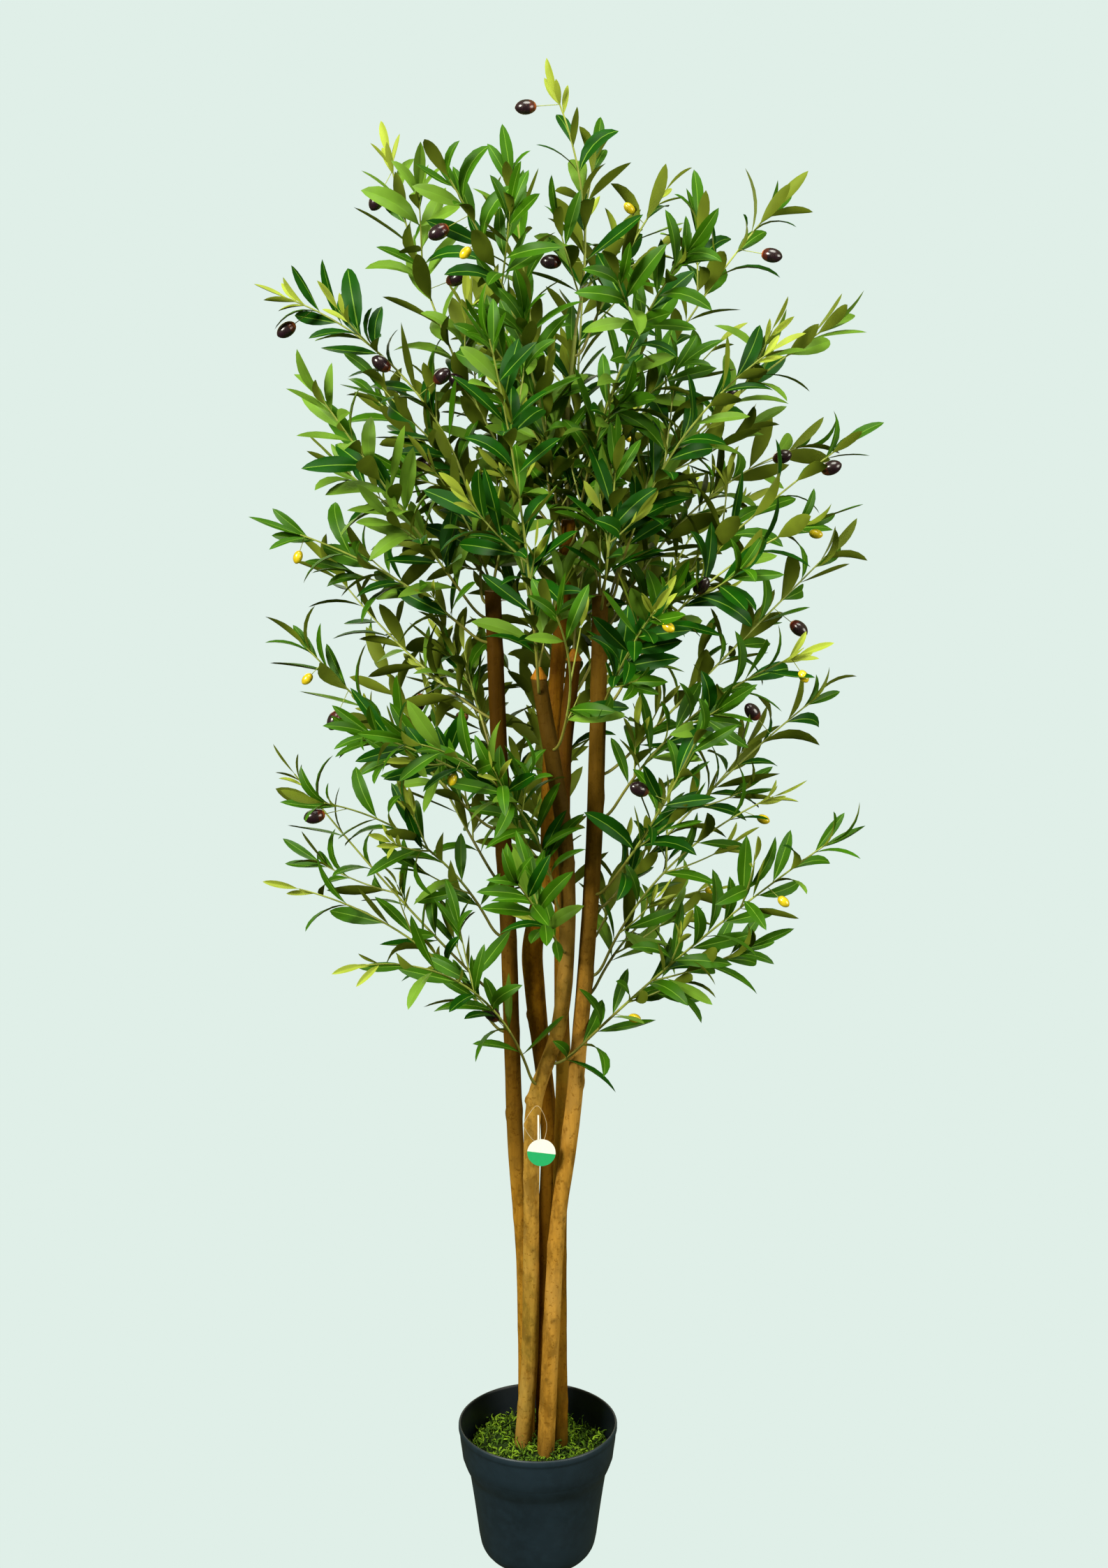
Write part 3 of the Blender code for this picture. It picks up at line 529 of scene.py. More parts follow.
class Finish(Nodes):
    """A material under way, with its shader."""

    def __init__(self, name, colour, roughness, **sockets):
        self.material = bpy.data.materials.new(name)
        self.material.use_nodes = True
        super().__init__(self.material.node_tree)
        self.shader = self.nodes["Principled BSDF"]
        self.material.diffuse_color = (*colour, 1)
        self.set("Base Color", (*colour, 1))
        self.set("Roughness", roughness)
        for socket, value in sockets.items():
            self.set(socket.replace("_", " "), value)

    def set(self, socket, value):
        """Feeds one of the shader's sockets."""
        self.feed(self.shader.inputs[socket], value)

    def place(self, stretch=(1, 1, 1)):
        """Object coordinates, stretched."""
        source = self.out("ShaderNodeTexCoord", "Object")
        return self.out("ShaderNodeMapping", "Vector", {"Vector": source, "Scale": stretch})

    def noise(self, place, scale, detail, roughness=0.55):
        return self.out("ShaderNodeTexNoise", "Fac", {
            "Vector": place, "Scale": scale, "Detail": detail, "Roughness": roughness})

    def spots(self, place, scale, detail, low, high, roughness=0.55):
        """Noise of that scale and detail, stretched between two of its levels."""
        return self.band(self.noise(place, scale, detail, roughness), low, high)

    def mix(self, share, first, second, strength=1.0):
        """Blends two colours, each a socket or three numbers, by share times strength."""
        if strength < 1.0:
            share = self.math("MULTIPLY", share, strength)
        node = self.add("ShaderNodeMix", {"Factor": share}, data_type="RGBA")
        for socket, colour in zip(node.inputs[6:8], (first, second)):
            linked = isinstance(colour, bpy.types.NodeSocket)
            self.feed(socket, colour if linked else (*colour, 1))
        return node.outputs[2]

    def bump(self, height, depth, strength):
        """Relief of that depth in metres."""
        self.set("Normal", self.out("ShaderNodeBump", "Normal", {
            "Height": height, "Distance": depth, "Strength": strength}))


def shade(colour, factor):
    return tuple(min(channel * factor, 1.0) for channel in colour)


def tint(colour, factors):
    return tuple(channel * factor for channel, factor in zip(colour, factors))


def patched_finish(name, colour, roughness, patch, shades, relief=None, **sockets):
    """One colour with faint patches from one shade of it to another.

    patch is the scale, detail, low and high level of the patches. relief is the scale,
    detail, depth and strength of a fine relief.
    """
    finish = Finish(name, colour, roughness, **sockets)
    place = finish.place()
    dull, bright = (shade(colour, factor) for factor in shades)
    finish.set("Base Color", finish.mix(finish.spots(place, *patch), dull, bright))
    if relief:
        scale, detail, depth, strength = relief
        finish.bump(finish.noise(place, scale, detail), depth, strength)
    return finish.material


# Growth: the lines of the poles and stems, by the rule that the solids follow

def level_way(angle):
    return Vector((math.cos(angle), math.sin(angle), 0))


def curve_through(points, steps):
    """A Catmull-Rom curve from the second point up to the last but one."""
    places = []
    for before, start, stop, after in zip(points, points[1:], points[2:], points[3:]):
        for step in range(steps):
            t = step / steps
            places.append(0.5 * (2 * start + (stop - before) * t
                                 + (2 * before - 5 * start + 4 * stop - after) * t ** 2
                                 + (3 * start - before - 3 * stop + after) * t ** 3))
    return places


def place_at(line, height):
    """Where a rising line passes a height."""
    heights = [p.z for p in line]
    return Vector((np.interp(height, heights, [p.x for p in line]),
                   np.interp(height, heights, [p.y for p in line]), height))


def smooth_line(points, count):
    """count + 1 places on a smooth curve through the points, even in height."""
    points = [Vector(p) for p in points]
    ends = [2 * points[0] - points[1]] + points + [2 * points[-1] - points[-2]]
    dense = curve_through(ends, CURVE_STEPS) + [points[-1]]
    low, high = dense[0].z, dense[-1].z
    return [place_at(dense, low + (high - low) * step / count) for step in range(count + 1)]


def leader_line(rings):
    """The bare shoot on the middle pole's top."""
    middle = next(pole for pole in POLES if pole.name == "middle")
    root = Vector(middle.bends[-1]) + Vector((0, 0, GAP))
    line = []
    for step in range(rings):
        share = step / (rings - 1)
        bow = Vector((-LEADER_BOW * math.sin(math.pi * share), 0, 0))
        line.append(root + Vector(LEADER_REACH) * share + bow)
    return line


def stem_line(root, heading, rise, length, bend, sweep, segments):
    """An arc whose slope and heading change evenly from root to tip."""
    line = [root.copy()]
    for step in range(segments):
        share = (step + 0.5) / segments
        slope = math.radians(rise + bend * share)
        way = math.radians(heading + sweep * share)
        across = math.cos(slope)
        along = Vector((across * math.cos(way), across * math.sin(way), math.sin(slope)))
        line.append(line[-1] + along * length / segments)
    return line


def place_on(line, share):
    """The place at a share of the line's points, and the line's direction there."""
    at = min(max(share, 0.0), 1.0) * (len(line) - 1)
    low = min(int(at), len(line) - 2)
    step = line[low + 1] - line[low]
    return line[low] + step * (at - low), step.normalized()


def seat(spray, line, faces):
    """The place on a limb's face that a spray is plugged into, and its normal."""
    top = line[-1]
    if spray.height > top.z - TOP_SEAT_DEPTH:
        start = top + Vector((0, 0, PLUG_LENGTH))
        way = Vector((0, 0, -1))
    else:
        start = place_at(line, spray.height)
        way = level_way(math.radians(spray.heading))
    place, normal, _, _ = faces.ray_cast(start, way)
    if place is None:
        raise RuntimeError(f"{spray.name} finds no face of its limb")
    return place, normal


def sample(line):
    """Places along a line, close together."""
    places = []
    for start, stop in zip(line, line[1:]):
        count = math.ceil((stop - start).length / SAMPLE_PITCH)
        places += [start.lerp(stop, i / count) for i in range(count)]
    return places + [line[-1]]


class Space:
    """Who owns a place in the crown: the spray whose twigs are nearest to it."""

    def __init__(self, limbs):
        self.limbs = np.array([p for line in limbs for p in sample(line)])
        self.places = np.empty((0, 3))
        self.owners = np.empty(0, int)

    def add(self, line, owner):
        places = np.array(sample(line))
        self.places = np.vstack([self.places, places])
        self.owners = np.append(self.owners, np.full(len(places), owner))

    def gaps(self, points, places):
        """The distance from each point to each place."""
        return np.linalg.norm(np.array(points)[:, None] - places[None], axis=2)

    def off_limbs(self, points, clearance):
        return bool((self.gaps(points, self.limbs) >= clearance).all())

    def holds(self, points, owner):
        """True where every point is the owner's own and clear of the limbs."""
        if not self.off_limbs(points, LIMB_CLEARANCE):
            return False
        away = self.gaps(points, self.places)
        own = away[:, self.owners == owner].min(axis=1)
        other = away[:, self.owners != owner].min(axis=1)
        return bool((own + SPACE_MARGIN < other).all())


def side_way(along, angle, spread):
    """A way that leaves a stem by spread, and the way square to the stem below it."""
    across = along.cross(Vector((0, 0, 1)))
    across = across.normalized() if across.length > MIN_ACROSS else Vector((1, 0, 0))
    lifted = across.cross(along).normalized()
    side = across * math.cos(angle) + lifted * math.sin(angle)
    return (along * math.cos(spread) + side * math.sin(spread)).normalized(), side


def grow_twigs(spray, stem, owner, space, draw):
    """Side twigs at even steps, as (share of the stem, line), as the solids have them."""
    twigs = []
    count = max(1, round(spray.length * (1 - BARE_SHARE) / TWIG_PITCH))
    turn = draw.uniform(0, 2 * math.pi)
    for step in range(count):
        share = BARE_SHARE + (LAST_TWIG_SHARE - BARE_SHARE) * (step + TWIG_START) / count
        place, along = place_on(stem[1:], share)
        reach = spray.length * (TWIG_REACH - TWIG_TAPER * share) * draw.uniform(*TWIG_SIZES)
        for _ in range(TWIG_TRIES):
            turn += GOLDEN_ANGLE
            way, _ = side_way(along, turn, math.radians(draw.uniform(*TWIG_SPREAD)))
            line = [place]
            for _ in range(TWIG_SEGMENTS):
                way = (way + Vector((0, 0, TWIG_PULL))).normalized()
                line.append(line[-1] + way * reach / TWIG_SEGMENTS)
            if space.holds(line[1:], owner):
                twigs.append((share, line))
                break
    return twigs


# Growth carried on to finer stems, leaves and olives

FINE_SEGMENTS = 24  # along a stem
ROOT_BLEND = 2  # segments of a stem that its root's bend takes in
ROOT_DEPTH = 0.003  # in the pole
ROOT_STEPS = 6
TWIG_STEPS = 8
STEM_RADIUS = (0.0019, 0.0009)  # at a stem's root and tip
TWIG_RADIUS = (0.0012, 0.0007)
WIRE_RADIUS = 0.00045
LEADER_RADIUS = (0.0030, 0.0023)
SHOOT_LENGTHS = (0.035, 0.075)
SHOOT_SPREAD = (26, 44)
SHOOT_SHARES = (0.12, 0.52)  # of a stem, between which side shoots stand
LEAF_SPREAD = (26, 46)  # off the stem
LEAF_FAN = 20  # more than that at a shoot's foot
TIP_SPREAD = (16, 36)
LEAF_SIZES = (0.84, 1.16)
TIP_SIZES = (0.70, 0.92)
YOUNG_SIZES = (0.38, 0.60)
END_SIZE = 0.84  # of the leaf on a stem's very end
LEAF_BREADTHS = ((0.90, 1.35), (0.92, 1.14))  # slim low in the crown, broad high up
YOUNG_SHARE = 0.36  # of the side shoots that end in a young tuft
YOUNG_STEM_SHARE = 0.34  # and of the stems
LEAF_TURN = math.radians(16)  # at random about the stem, from a quarter turn
LEAF_ROLL = math.radians(38)  # at random about the leaf's own length
LEAF_UP = 0.45  # how much a leaf turns its upper side up
LEAF_OUT = 5.0  # and outwards, for each metre from the line that parts front from back
LEAF_PARTING = 0.10  # that line's place behind the middle
LEAF_TRIES = 6
NEXT_TURN = math.radians(41)
CONE_VIEWS = (0.007, -0.028)  # heights from a coned pole's top that leaves don't hide
CONE_VIEW_RADIUS = 0.024
POLE_ROOM = 0.0135  # from a pole's middle to a leaf
LEAF_ROOM = 0.0042  # from one leaf's midrib to the next
STEM_START = 0.055  # the bare foot of a stem, a twig and a side shoot
STEM_STARTS = {"right_spray_13": 0.018}
TWIG_STEM_START = 0.014
SHOOT_START = 0.010

# How close the leaves of a group's or a spray's stems stand. 1 is the set pitch.
FULLNESS = {
    "top": 1.05, "right": 0.84, "left": 0.92, "front": 1.0, "back": 0.88,
    "top_shoots": 0.8, "top_spray_1": 0.9, "top_spray_2": 0.85, "top_spray_5": 1.4,
    "top_spray_6": 0.88, "top_spray_7": 0.85, "top_spray_8": 0.72, "left_spray_2": 1.45,
    "left_spray_3": 0.8, "left_spray_4": 0.8, "left_spray_9": 1.25, "left_spray_10": 1.45,
    "left_spray_11": 0.55, "left_spray_12": 0.66, "left_spray_13": 0.54,
    "left_spray_14": 0.72, "right_spray_2": 1.1, "right_spray_8": 0.76,
    "right_spray_9": 1.25, "right_spray_10": 0.74, "right_spray_11": 0.50,
    "right_spray_13": 1.05, "right_spray_14": 0.5, "front_spray_3": 1.4,
    "front_spray_4": 0.74, "front_spray_5": 1.2, "back_spray_2": 0.68,
    "back_spray_3": 0.75,
}
# The main tone of the sprays that the photo shows clearly. The others draw theirs.
TONES = {
    "top_spray_3": FRESH, "top_spray_5": MID, "left_spray_2": FRESH, "left_spray_9": MID,
    "left_spray_11": MID, "right_spray_12": FRESH, "right_spray_13": MID,
    "front_spray_4": DEEP, "front_spray_5": MID,
}
TIP_PAIRS = 2
TIP_STEP = 0.010
PITCH_DRIFT = (0.85, 1.2)  # of the pitch from one pair of leaves to the next
SHOOT_DRIFT = (0.75, 1.25)
PAIR_SHIFT = 0.003  # of each leaf of a pair, along the stem
TUFT_ROOM = 0.4  # of a pitch between the last pair and the tuft
OWN_TONE_SHARE = 0.62  # of the leaves that have their shoot's main tone
SLIMNESS = (0.86, 1.12)
TIP_SLIMNESS = 0.85
END_SPREAD = 4
TRY_SHRINK = 0.04  # at each new try
TIP_SHRINK = 0.1  # at each step up a tuft
SWELL = (0.9, 0.1)  # of the leaves at a shoot's foot, and how much more in its middle
TONE_WEIGHTS = (4, 5, 2)  # for a deep, mid and fresh spray

CONE_HEIGHT = 0.0145
TOP_RADIUS = (0.0016, 0.0008)
TOP_START = 0.03
TOP_AGE = 0.1
TOP_BENDS = (-24, -8)
TOP_SWEEPS = (-20, 20)
YELLOW_SIZE = 0.64

Shoot = namedtuple("Shoot", "line radii age start group full tone young")
Leaf = namedtuple("Leaf", "place turn length width shape tone group")
Olive = namedtuple("Olive", "root place way size ripe group")

# Shoots that stand on a pole's top or cone: heading and rise in degrees, and length.
TOP_SHOOTS = {
    "left": ((205, 74, 0.16), (330, 80, 0.14), (75, 66, 0.12)),
    "right": ((150, 78, 0.16), (15, 72, 0.13), (265, 80, 0.12)),
    "front": ((130, 80, 0.15), (330, 76, 0.10)),
    "back": ((60, 84, 0.17),),
    "middle": ((215, 70, 0.15), (330, 76, 0.16), (100, 66, 0.14)),
}


class Path:
    """A line that is read by the distance along it."""

    def __init__(self, points):
        self.points = points
        self.marks = [0.0]
        for start, stop in zip(points, points[1:]):
            self.marks.append(self.marks[-1] + (stop - start).length)
        self.length = self.marks[-1]

    def at(self, distance):
        """The place there, and the line's direction."""
        distance = min(max(distance, 0.0), self.length)
        low = min(bisect_right(self.marks, distance), len(self.points) - 1) - 1
        step = self.points[low + 1] - self.points[low]
        share = (distance - self.marks[low]) / step.length
        return self.points[low] + step * share, step.normalized()


def bend_through(start, handle, stop, steps):
    """Places on a quadratic curve from start towards handle and on to stop."""
    places = []
    for step in range(steps + 1):
        t = step / steps
        places.append(start * (1 - t) ** 2 + handle * 2 * t * (1 - t) + stop * t ** 2)
    return places


def fine_stem(spray, place, normal):
    """The stem's arc in short steps, with a root that bends out of the pole."""
    start = place + normal * PLUG_LENGTH
    arc = stem_line(start, spray.heading, spray.rise, spray.length, spray.bend,
                    spray.sweep, FINE_SEGMENTS)
    root = bend_through(place - normal * ROOT_DEPTH, start, arc[ROOT_BLEND], ROOT_STEPS)
    return root + arc[ROOT_BLEND + 1:], arc


def fine_twig(line, root):
    """A twig of the solids as a smooth curve from the fine stem."""
    shift = root - line[0]
    middle, tip = (p + shift for p in line[1:])
    handle = 2 * middle - (root + tip) / 2
    return bend_through(root, handle, tip, TWIG_STEPS)


def grow_shoots(stem, space, draw, pitch):
    """Short side shoots of a stem, each turned on by the golden angle."""
    path = Path(stem.line)
    shoots = []
    turn = draw.uniform(0, 2 * math.pi)
    distance = path.length * SHOOT_SHARES[0] + pitch * draw.random()
    while distance < path.length * SHOOT_SHARES[1]:
        place, along = path.at(distance)
        turn += GOLDEN_ANGLE
        way, _ = side_way(along, turn, math.radians(draw.uniform(*SHOOT_SPREAD)))
        length = draw.uniform(*SHOOT_LENGTHS)
        tip = place + way * length + Vector((0, 0, length * TWIG_PULL))
        line = bend_through(place, place + way * length / 2, tip, TWIG_STEPS // 2)
        if space.off_limbs(line[1:], POLE_ROOM):
            shoots.append(stem._replace(line=line, radii=TWIG_RADIUS, age=1.0,
                                        start=SHOOT_START, young=draw.random() < YOUNG_SHARE))
        distance += pitch * draw.uniform(*SHOOT_DRIFT)
    return shoots


# Leaf shapes. A shape is one leaf long and one leaf wide, along +X from its root.

LeafShape = namedtuple("LeafShape", "bend lift sickle twist fold")
LEAF_ROWS = (0.0, 0.06, 0.17, 0.32, 0.48, 0.64, 0.79, 0.91, 1.0)
LEAF_ASPECT = 0.27  # width for its length
LEAF_WIDEST = 0.53
TIP_BLUNTNESS = 0.82
STALK_SHARE = 0.06
STALK_WIDTH = 0.075  # of the leaf's width
RIB_WIDTH = 0.08
RIB_TAPER = 0.6
TIP_WIDTH = 1e-6  # a row this narrow is one point
LEAF_BODY = 0.0065  # thickness, for its length
PILLOW = 0.07  # how far each half of a leaf crowns
HALF_COLUMN = 0.52
LEAF_SHAPES = 14
YOUNG_SHAPES = 4


def draw_leaf_shapes():
    """Full leaves that bend back by more or less, then the straight young ones."""
    draw = random.Random("leaf shapes")
    shapes = []
    for number in range(LEAF_SHAPES):
        bend = math.radians(-14 + 104 * number / (LEAF_SHAPES - 1))
        shapes.append(LeafShape(bend, bend * draw.uniform(0.2, 0.45),
                                draw.uniform(-0.28, 0.28),
                                math.radians(draw.uniform(-28, 28)),
                                draw.uniform(0.10, 0.34)))
    for _ in range(YOUNG_SHAPES):
        shapes.append(LeafShape(math.radians(draw.uniform(-14, 24)), 0.0,
                                draw.uniform(-0.15, 0.15),
                                math.radians(draw.uniform(-15, 15)),
                                draw.uniform(0.3, 0.6)))
    return shapes


SHAPES = draw_leaf_shapes()


def leaf_spine(shape):
    """The midrib at each row, as (x, z) and the slope there."""
    spine = []
    x = z = before = 0.0
    for share in LEAF_ROWS:
        slope = shape.lift - shape.bend * (share + before) / 2
        x += (share - before) * math.cos(slope)
        z += (share - before) * math.sin(slope)
        spine.append((x, z, shape.lift - shape.bend * share))
        before = share
    return spine


def leaf_half_width(share):
    """Half a leaf's width at a share of its length, for a leaf one wide."""
    if share <= STALK_SHARE:
        return STALK_WIDTH / 2
    blade = (share - STALK_SHARE) / (1 - STALK_SHARE)
    root = TIP_BLUNTNESS * LEAF_WIDEST / (1 - LEAF_WIDEST)
    peak = LEAF_WIDEST ** root * (1 - LEAF_WIDEST) ** TIP_BLUNTNESS
    width = blade ** root * (1 - blade) ** TIP_BLUNTNESS / peak / 2
    return max(width, STALK_WIDTH / 2) if share < 0.5 else width


def leaf_mesh(name, shape):
    """A thin closed leaf: crowned halves, a rib, and a flat underside."""
    bm = bmesh.new()
    uv = bm.loops.layers.uv.new("UVMap")
    part = bm.faces.layers.int.new("part")
    tops, unders, widths = [], [], []
    for share, (x, z, slope) in zip(LEAF_ROWS, leaf_spine(shape)):
        half = leaf_half_width(share)
        rib = min(RIB_WIDTH * (1 - RIB_TAPER * share), half * 0.9) / 2
        centre = Vector((x, shape.sickle * share ** 2, z))
        up = Vector((-math.sin(slope), 0, math.cos(slope)))
        twist = shape.twist * share

        def spot(across, lift):
            wide = across * math.cos(twist)
            tall = (across * math.sin(twist) + lift) * LEAF_ASPECT
            return centre + Vector((0, wide, 0)) + up * tall

        if half < TIP_WIDTH:
            tops.append([bm.verts.new(centre)])
            unders.append(tops[-1][0])
            widths.append([0.5])
            continue
        columns = (-half, -half * HALF_COLUMN, -rib, rib, half * HALF_COLUMN, half)
        lifts = [shape.fold * abs(column) for column in columns]
        lifts[1] += PILLOW * half
        lifts[-2] += PILLOW * half
        tops.append([bm.verts.new(spot(c, h)) for c, h in zip(columns, lifts)])
        unders.append(bm.verts.new(spot(0.0, -LEAF_BODY / LEAF_ASPECT)))
        widths.append([0.5 + 0.5 * column / half for column in columns])

    def corner(row, i):
        """An upper vertex, its row and its place across. The tip's row has only one."""
        i = i if len(tops[row]) > 1 else 0
        return tops[row][i], row, widths[row][i]

    def face(corners, kind):
        corners = list(dict.fromkeys(corners))
        made = bm.faces.new([vert for vert, _, _ in corners])
        made[part] = kind
        for loop, (_, row, across) in zip(made.loops, corners):
            loop[uv].uv = (LEAF_ROWS[row], across)

    for row in range(len(LEAF_ROWS) - 1):
        for i in range(5):
            face([corner(row + 1, i), corner(row + 1, i + 1), corner(row, i + 1),
                  corner(row, i)], RIB if i == 2 else TOP)
        for side in (0, -1):
            corners = [corner(row, side), (unders[row], row, 0.5),
                       (unders[row + 1], row + 1, 0.5), corner(row + 1, side)]
            face(corners if side == 0 else corners[::-1], UNDER)
    face([(vert, 0, 0.5) for vert in tops[0]] + [(unders[0], 0, 0.5)], UNDER)
    mesh = mesh_from(name, bm, outward=True)
    smooth(mesh, sharp=75)
    return mesh


class Taken:
    """Places that leaves already hold, in cells, so that the next keeps off them."""

    def __init__(self, room):
        self.room = room
        self.cells = {}

    def cell(self, place):
        return tuple(math.floor(c / self.room) for c in place)

    def free(self, places):
        for place in places:
            x, y, z = self.cell(place)
            for i in (x - 1, x, x + 1):
                for j in (y - 1, y, y + 1):
                    for k in (z - 1, z, z + 1):
                        for other in self.cells.get((i, j, k), ()):
                            if (other - place).length < self.room:
                                return False
        return True

    def hold(self, places):
        for place in places:
            self.cells.setdefault(self.cell(place), []).append(place)


def leaf_turn(way, side, place, roll):
    """The rotation that lays a leaf along way, its upper side to the tip and the light."""
    up = way.cross(side).normalized()
    light = Vector((place.x * LEAF_OUT / 2, (place.y - LEAF_PARTING) * LEAF_OUT, LEAF_UP))
    up = (up + light).normalized()
    up = (up - way * up.dot(way)).normalized()
    up = (up * math.cos(roll) + way.cross(up) * math.sin(roll)).normalized()
    return Matrix((way, up.cross(way), up)).transposed()


@functools.lru_cache(maxsize=1)
def cone_views():
    """Points on the poles' cones and tops, each with the way from it to the camera."""
    eye = Vector(bpy.context.scene.olive_tree_stage.camera)
    points = [Vector(pole.bends[-1]) + Vector((0, 0, height))
              for pole in POLES if pole.has_cone for height in CONE_VIEWS]
    return [(point, (eye - point).normalized()) for point in points]


def hides_cone(places):
    """Whether one of the places is before a cone. The photo's foliage leaves a gap there."""
    for point, way in cone_views():
        for place in places:
            away = place - point
            if away.dot(way) > 0 and away.cross(way).length < CONE_VIEW_RADIUS:
                return True
    return False


def try_leaf(place, along, angle, spread, size, tone, group, draw, space, taken):
    """One leaf of that length and width in a list, or an empty list if it has no room."""
    way, out = side_way(along, angle, spread)
    turn = leaf_turn(way, along.cross(out), place, draw.uniform(-LEAF_ROLL, LEAF_ROLL))
    if tone == YOUNG:
        shape = LEAF_SHAPES + draw.randrange(YOUNG_SHAPES)
    else:
        shape = draw.randrange(LEAF_SHAPES)
    length, width = size
    probes = [place + turn @ Vector((x, 0, z)) * length
              for x, z, _ in leaf_spine(SHAPES[shape])[3:]]
    if hides_cone(probes) or not (space.off_limbs(probes, POLE_ROOM) and taken.free(probes)):
        return []
    taken.hold(probes)
    return [Leaf(place, turn, length, width, shape, tone, group)]


def dress(shoot, leaves, draw, space, taken):
    """Pairs of leaves along a shoot, each a quarter turn on, and those at its end."""
    path = Path(shoot.line)
    found = []
    turn = draw.uniform(0, math.pi)

    def grow(at, angle, spread, size, slim, tone):
        place, along = path.at(at)
        width = leaves.width * size * slim * float(np.interp(place.z, *LEAF_BREADTHS))
        return try_leaf(place, along, angle, math.radians(spread),
                        (leaves.length * size, width), tone, shoot.group, draw, space, taken)

    distance = shoot.start
    tuft = path.length - TIP_PAIRS * TIP_STEP
    pitch = leaves.pitch / shoot.full
    while distance < tuft - pitch * TUFT_ROOM:
        share = distance / path.length
        swell = SWELL[0] + SWELL[1] * math.sin(math.pi * min(share * 1.1, 1.0))
        for half in (0, 1):
            at = distance + draw.uniform(-PAIR_SHIFT, PAIR_SHIFT)
            angle = turn + math.pi * half + draw.uniform(-LEAF_TURN, LEAF_TURN)
            own_tone = draw.random() < OWN_TONE_SHARE
            tone = shoot.tone if own_tone else draw.choice((DEEP, MID, FRESH))
            for tries in range(LEAF_TRIES):
                size = draw.uniform(*LEAF_SIZES) * swell * (1 - TRY_SHRINK * tries)
                spread = draw.uniform(*LEAF_SPREAD) + LEAF_FAN * (1 - share)
                leaf = grow(at, angle + NEXT_TURN * tries, spread, size,
                            draw.uniform(*SLIMNESS), tone)
                found += leaf
                if leaf:
                    break
        turn += math.pi / 2
        distance += pitch * draw.uniform(*PITCH_DRIFT)
    tone = YOUNG if shoot.young else max(shoot.tone, MID)
    sizes = YOUNG_SIZES if shoot.young else TIP_SIZES
    for step in range(TIP_PAIRS):
        for half in (0, 1):
            found += grow(tuft + TIP_STEP * step, turn + math.pi * half,
                          draw.uniform(*TIP_SPREAD),
                          draw.uniform(*sizes) * (1 - TIP_SHRINK * step), TIP_SLIMNESS, tone)
        turn += math.pi / 2
    end_size = sizes[1] if shoot.young else END_SIZE
    return found + grow(path.length, turn, END_SPREAD, end_size, TIP_SLIMNESS, tone)


def grow_olives(spray, path, olives):
    """Olives on short wires, each leaning out from the stem as the table says."""
    found = []
    for share, heading, rise, ripe in OLIVES.get(spray.name, ()):
        root = path.at(path.length * share)[0]
        way = stem_line(root, heading, rise, 1.0, 0, 0, 1)[1] - root
        size = 1.0 if ripe else YELLOW_SIZE
        place = root + way * olives.wire * size
        found.append(Olive(root, place, way, size, ripe, spray.group))
    return found


def seat_sprays(lines, space):
    """The seat and coarse stem of every spray, whose stem claims its space."""
    faces = {pole.name: node_faces(pole.name + "_pole") for pole in POLES}
    faces["leader"] = node_faces("leader_bough")
    seats, stems = [], []
    for owner, spray in enumerate(SPRAYS):
        place, normal = seat(spray, lines[spray.pole], faces[spray.pole])
        seats.append((place, normal))
        stems.append([place + normal * GAP] + stem_line(
            place + normal * PLUG_LENGTH, spray.heading, spray.rise, spray.length,
            spray.bend, spray.sweep, COARSE_SEGMENTS))
        space.add(stems[owner], owner)
    return seats, stems


def grow_spray(spray, place, normal, twigs, space, pitch):
    """The shoots of one spray, its stem first."""
    draw = random.Random(spray.name + " fine")
    full = FULLNESS.get(spray.name, FULLNESS[spray.group])
    tone = draw.choices((DEEP, MID, FRESH), weights=TONE_WEIGHTS)[0]
    tone = TONES.get(spray.name, tone)
    line, arc = fine_stem(spray, place, normal)
    young = random.Random(spray.name + " tip").random() < YOUNG_STEM_SHARE
    stem = Shoot(line, STEM_RADIUS, 0.0, STEM_STARTS.get(spray.name, STEM_START),
                 spray.group, full, tone, young)
    side = [stem._replace(line=fine_twig(twig, place_on(arc, share)[0]), radii=TWIG_RADIUS,
                          age=1.0, start=TWIG_STEM_START, young=draw.random() < YOUNG_SHARE)
            for share, twig in twigs]
    return [stem] + side + grow_shoots(stem, space, draw, pitch)


@functools.lru_cache(maxsize=1)
def grow_crown():
    """Every shoot, leaf and olive of the crown."""
    settings = bpy.context.scene.olive_tree_leaves
    olives = bpy.context.scene.olive_tree_olives
    lines = {pole.name: smooth_line(pole.bends, POLE_RINGS) for pole in POLES}
    lines["leader"] = leader_line(LEADER_RINGS)
    space = Space(lines.values())
    seats, stems = seat_sprays(lines, space)
    shoots, fruit, found = [], [], []
    for owner, spray in enumerate(SPRAYS):
        twigs = grow_twigs(spray, stems[owner], owner, space, random.Random(spray.name))
        own = grow_spray(spray, *seats[owner], twigs, space, settings.shoot_pitch)
        shoots += own
        fruit += grow_olives(spray, Path(own[0].line), olives)
    shoots += grow_top_shoots()
    taken = Taken(LEAF_ROOM)
    for shoot in shoots:
        taken.hold(sample(shoot.line)[2:])
    for olive in fruit:
        middle = olive.place + olive.way * olives.length / 2
        taken.hold([middle, olive.place, middle + olive.way * olives.length / 4])
    for number, shoot in enumerate(shoots):
        found += dress(shoot, settings, random.Random(f"leaves {number}"), space, taken)
    return shoots, found, fruit


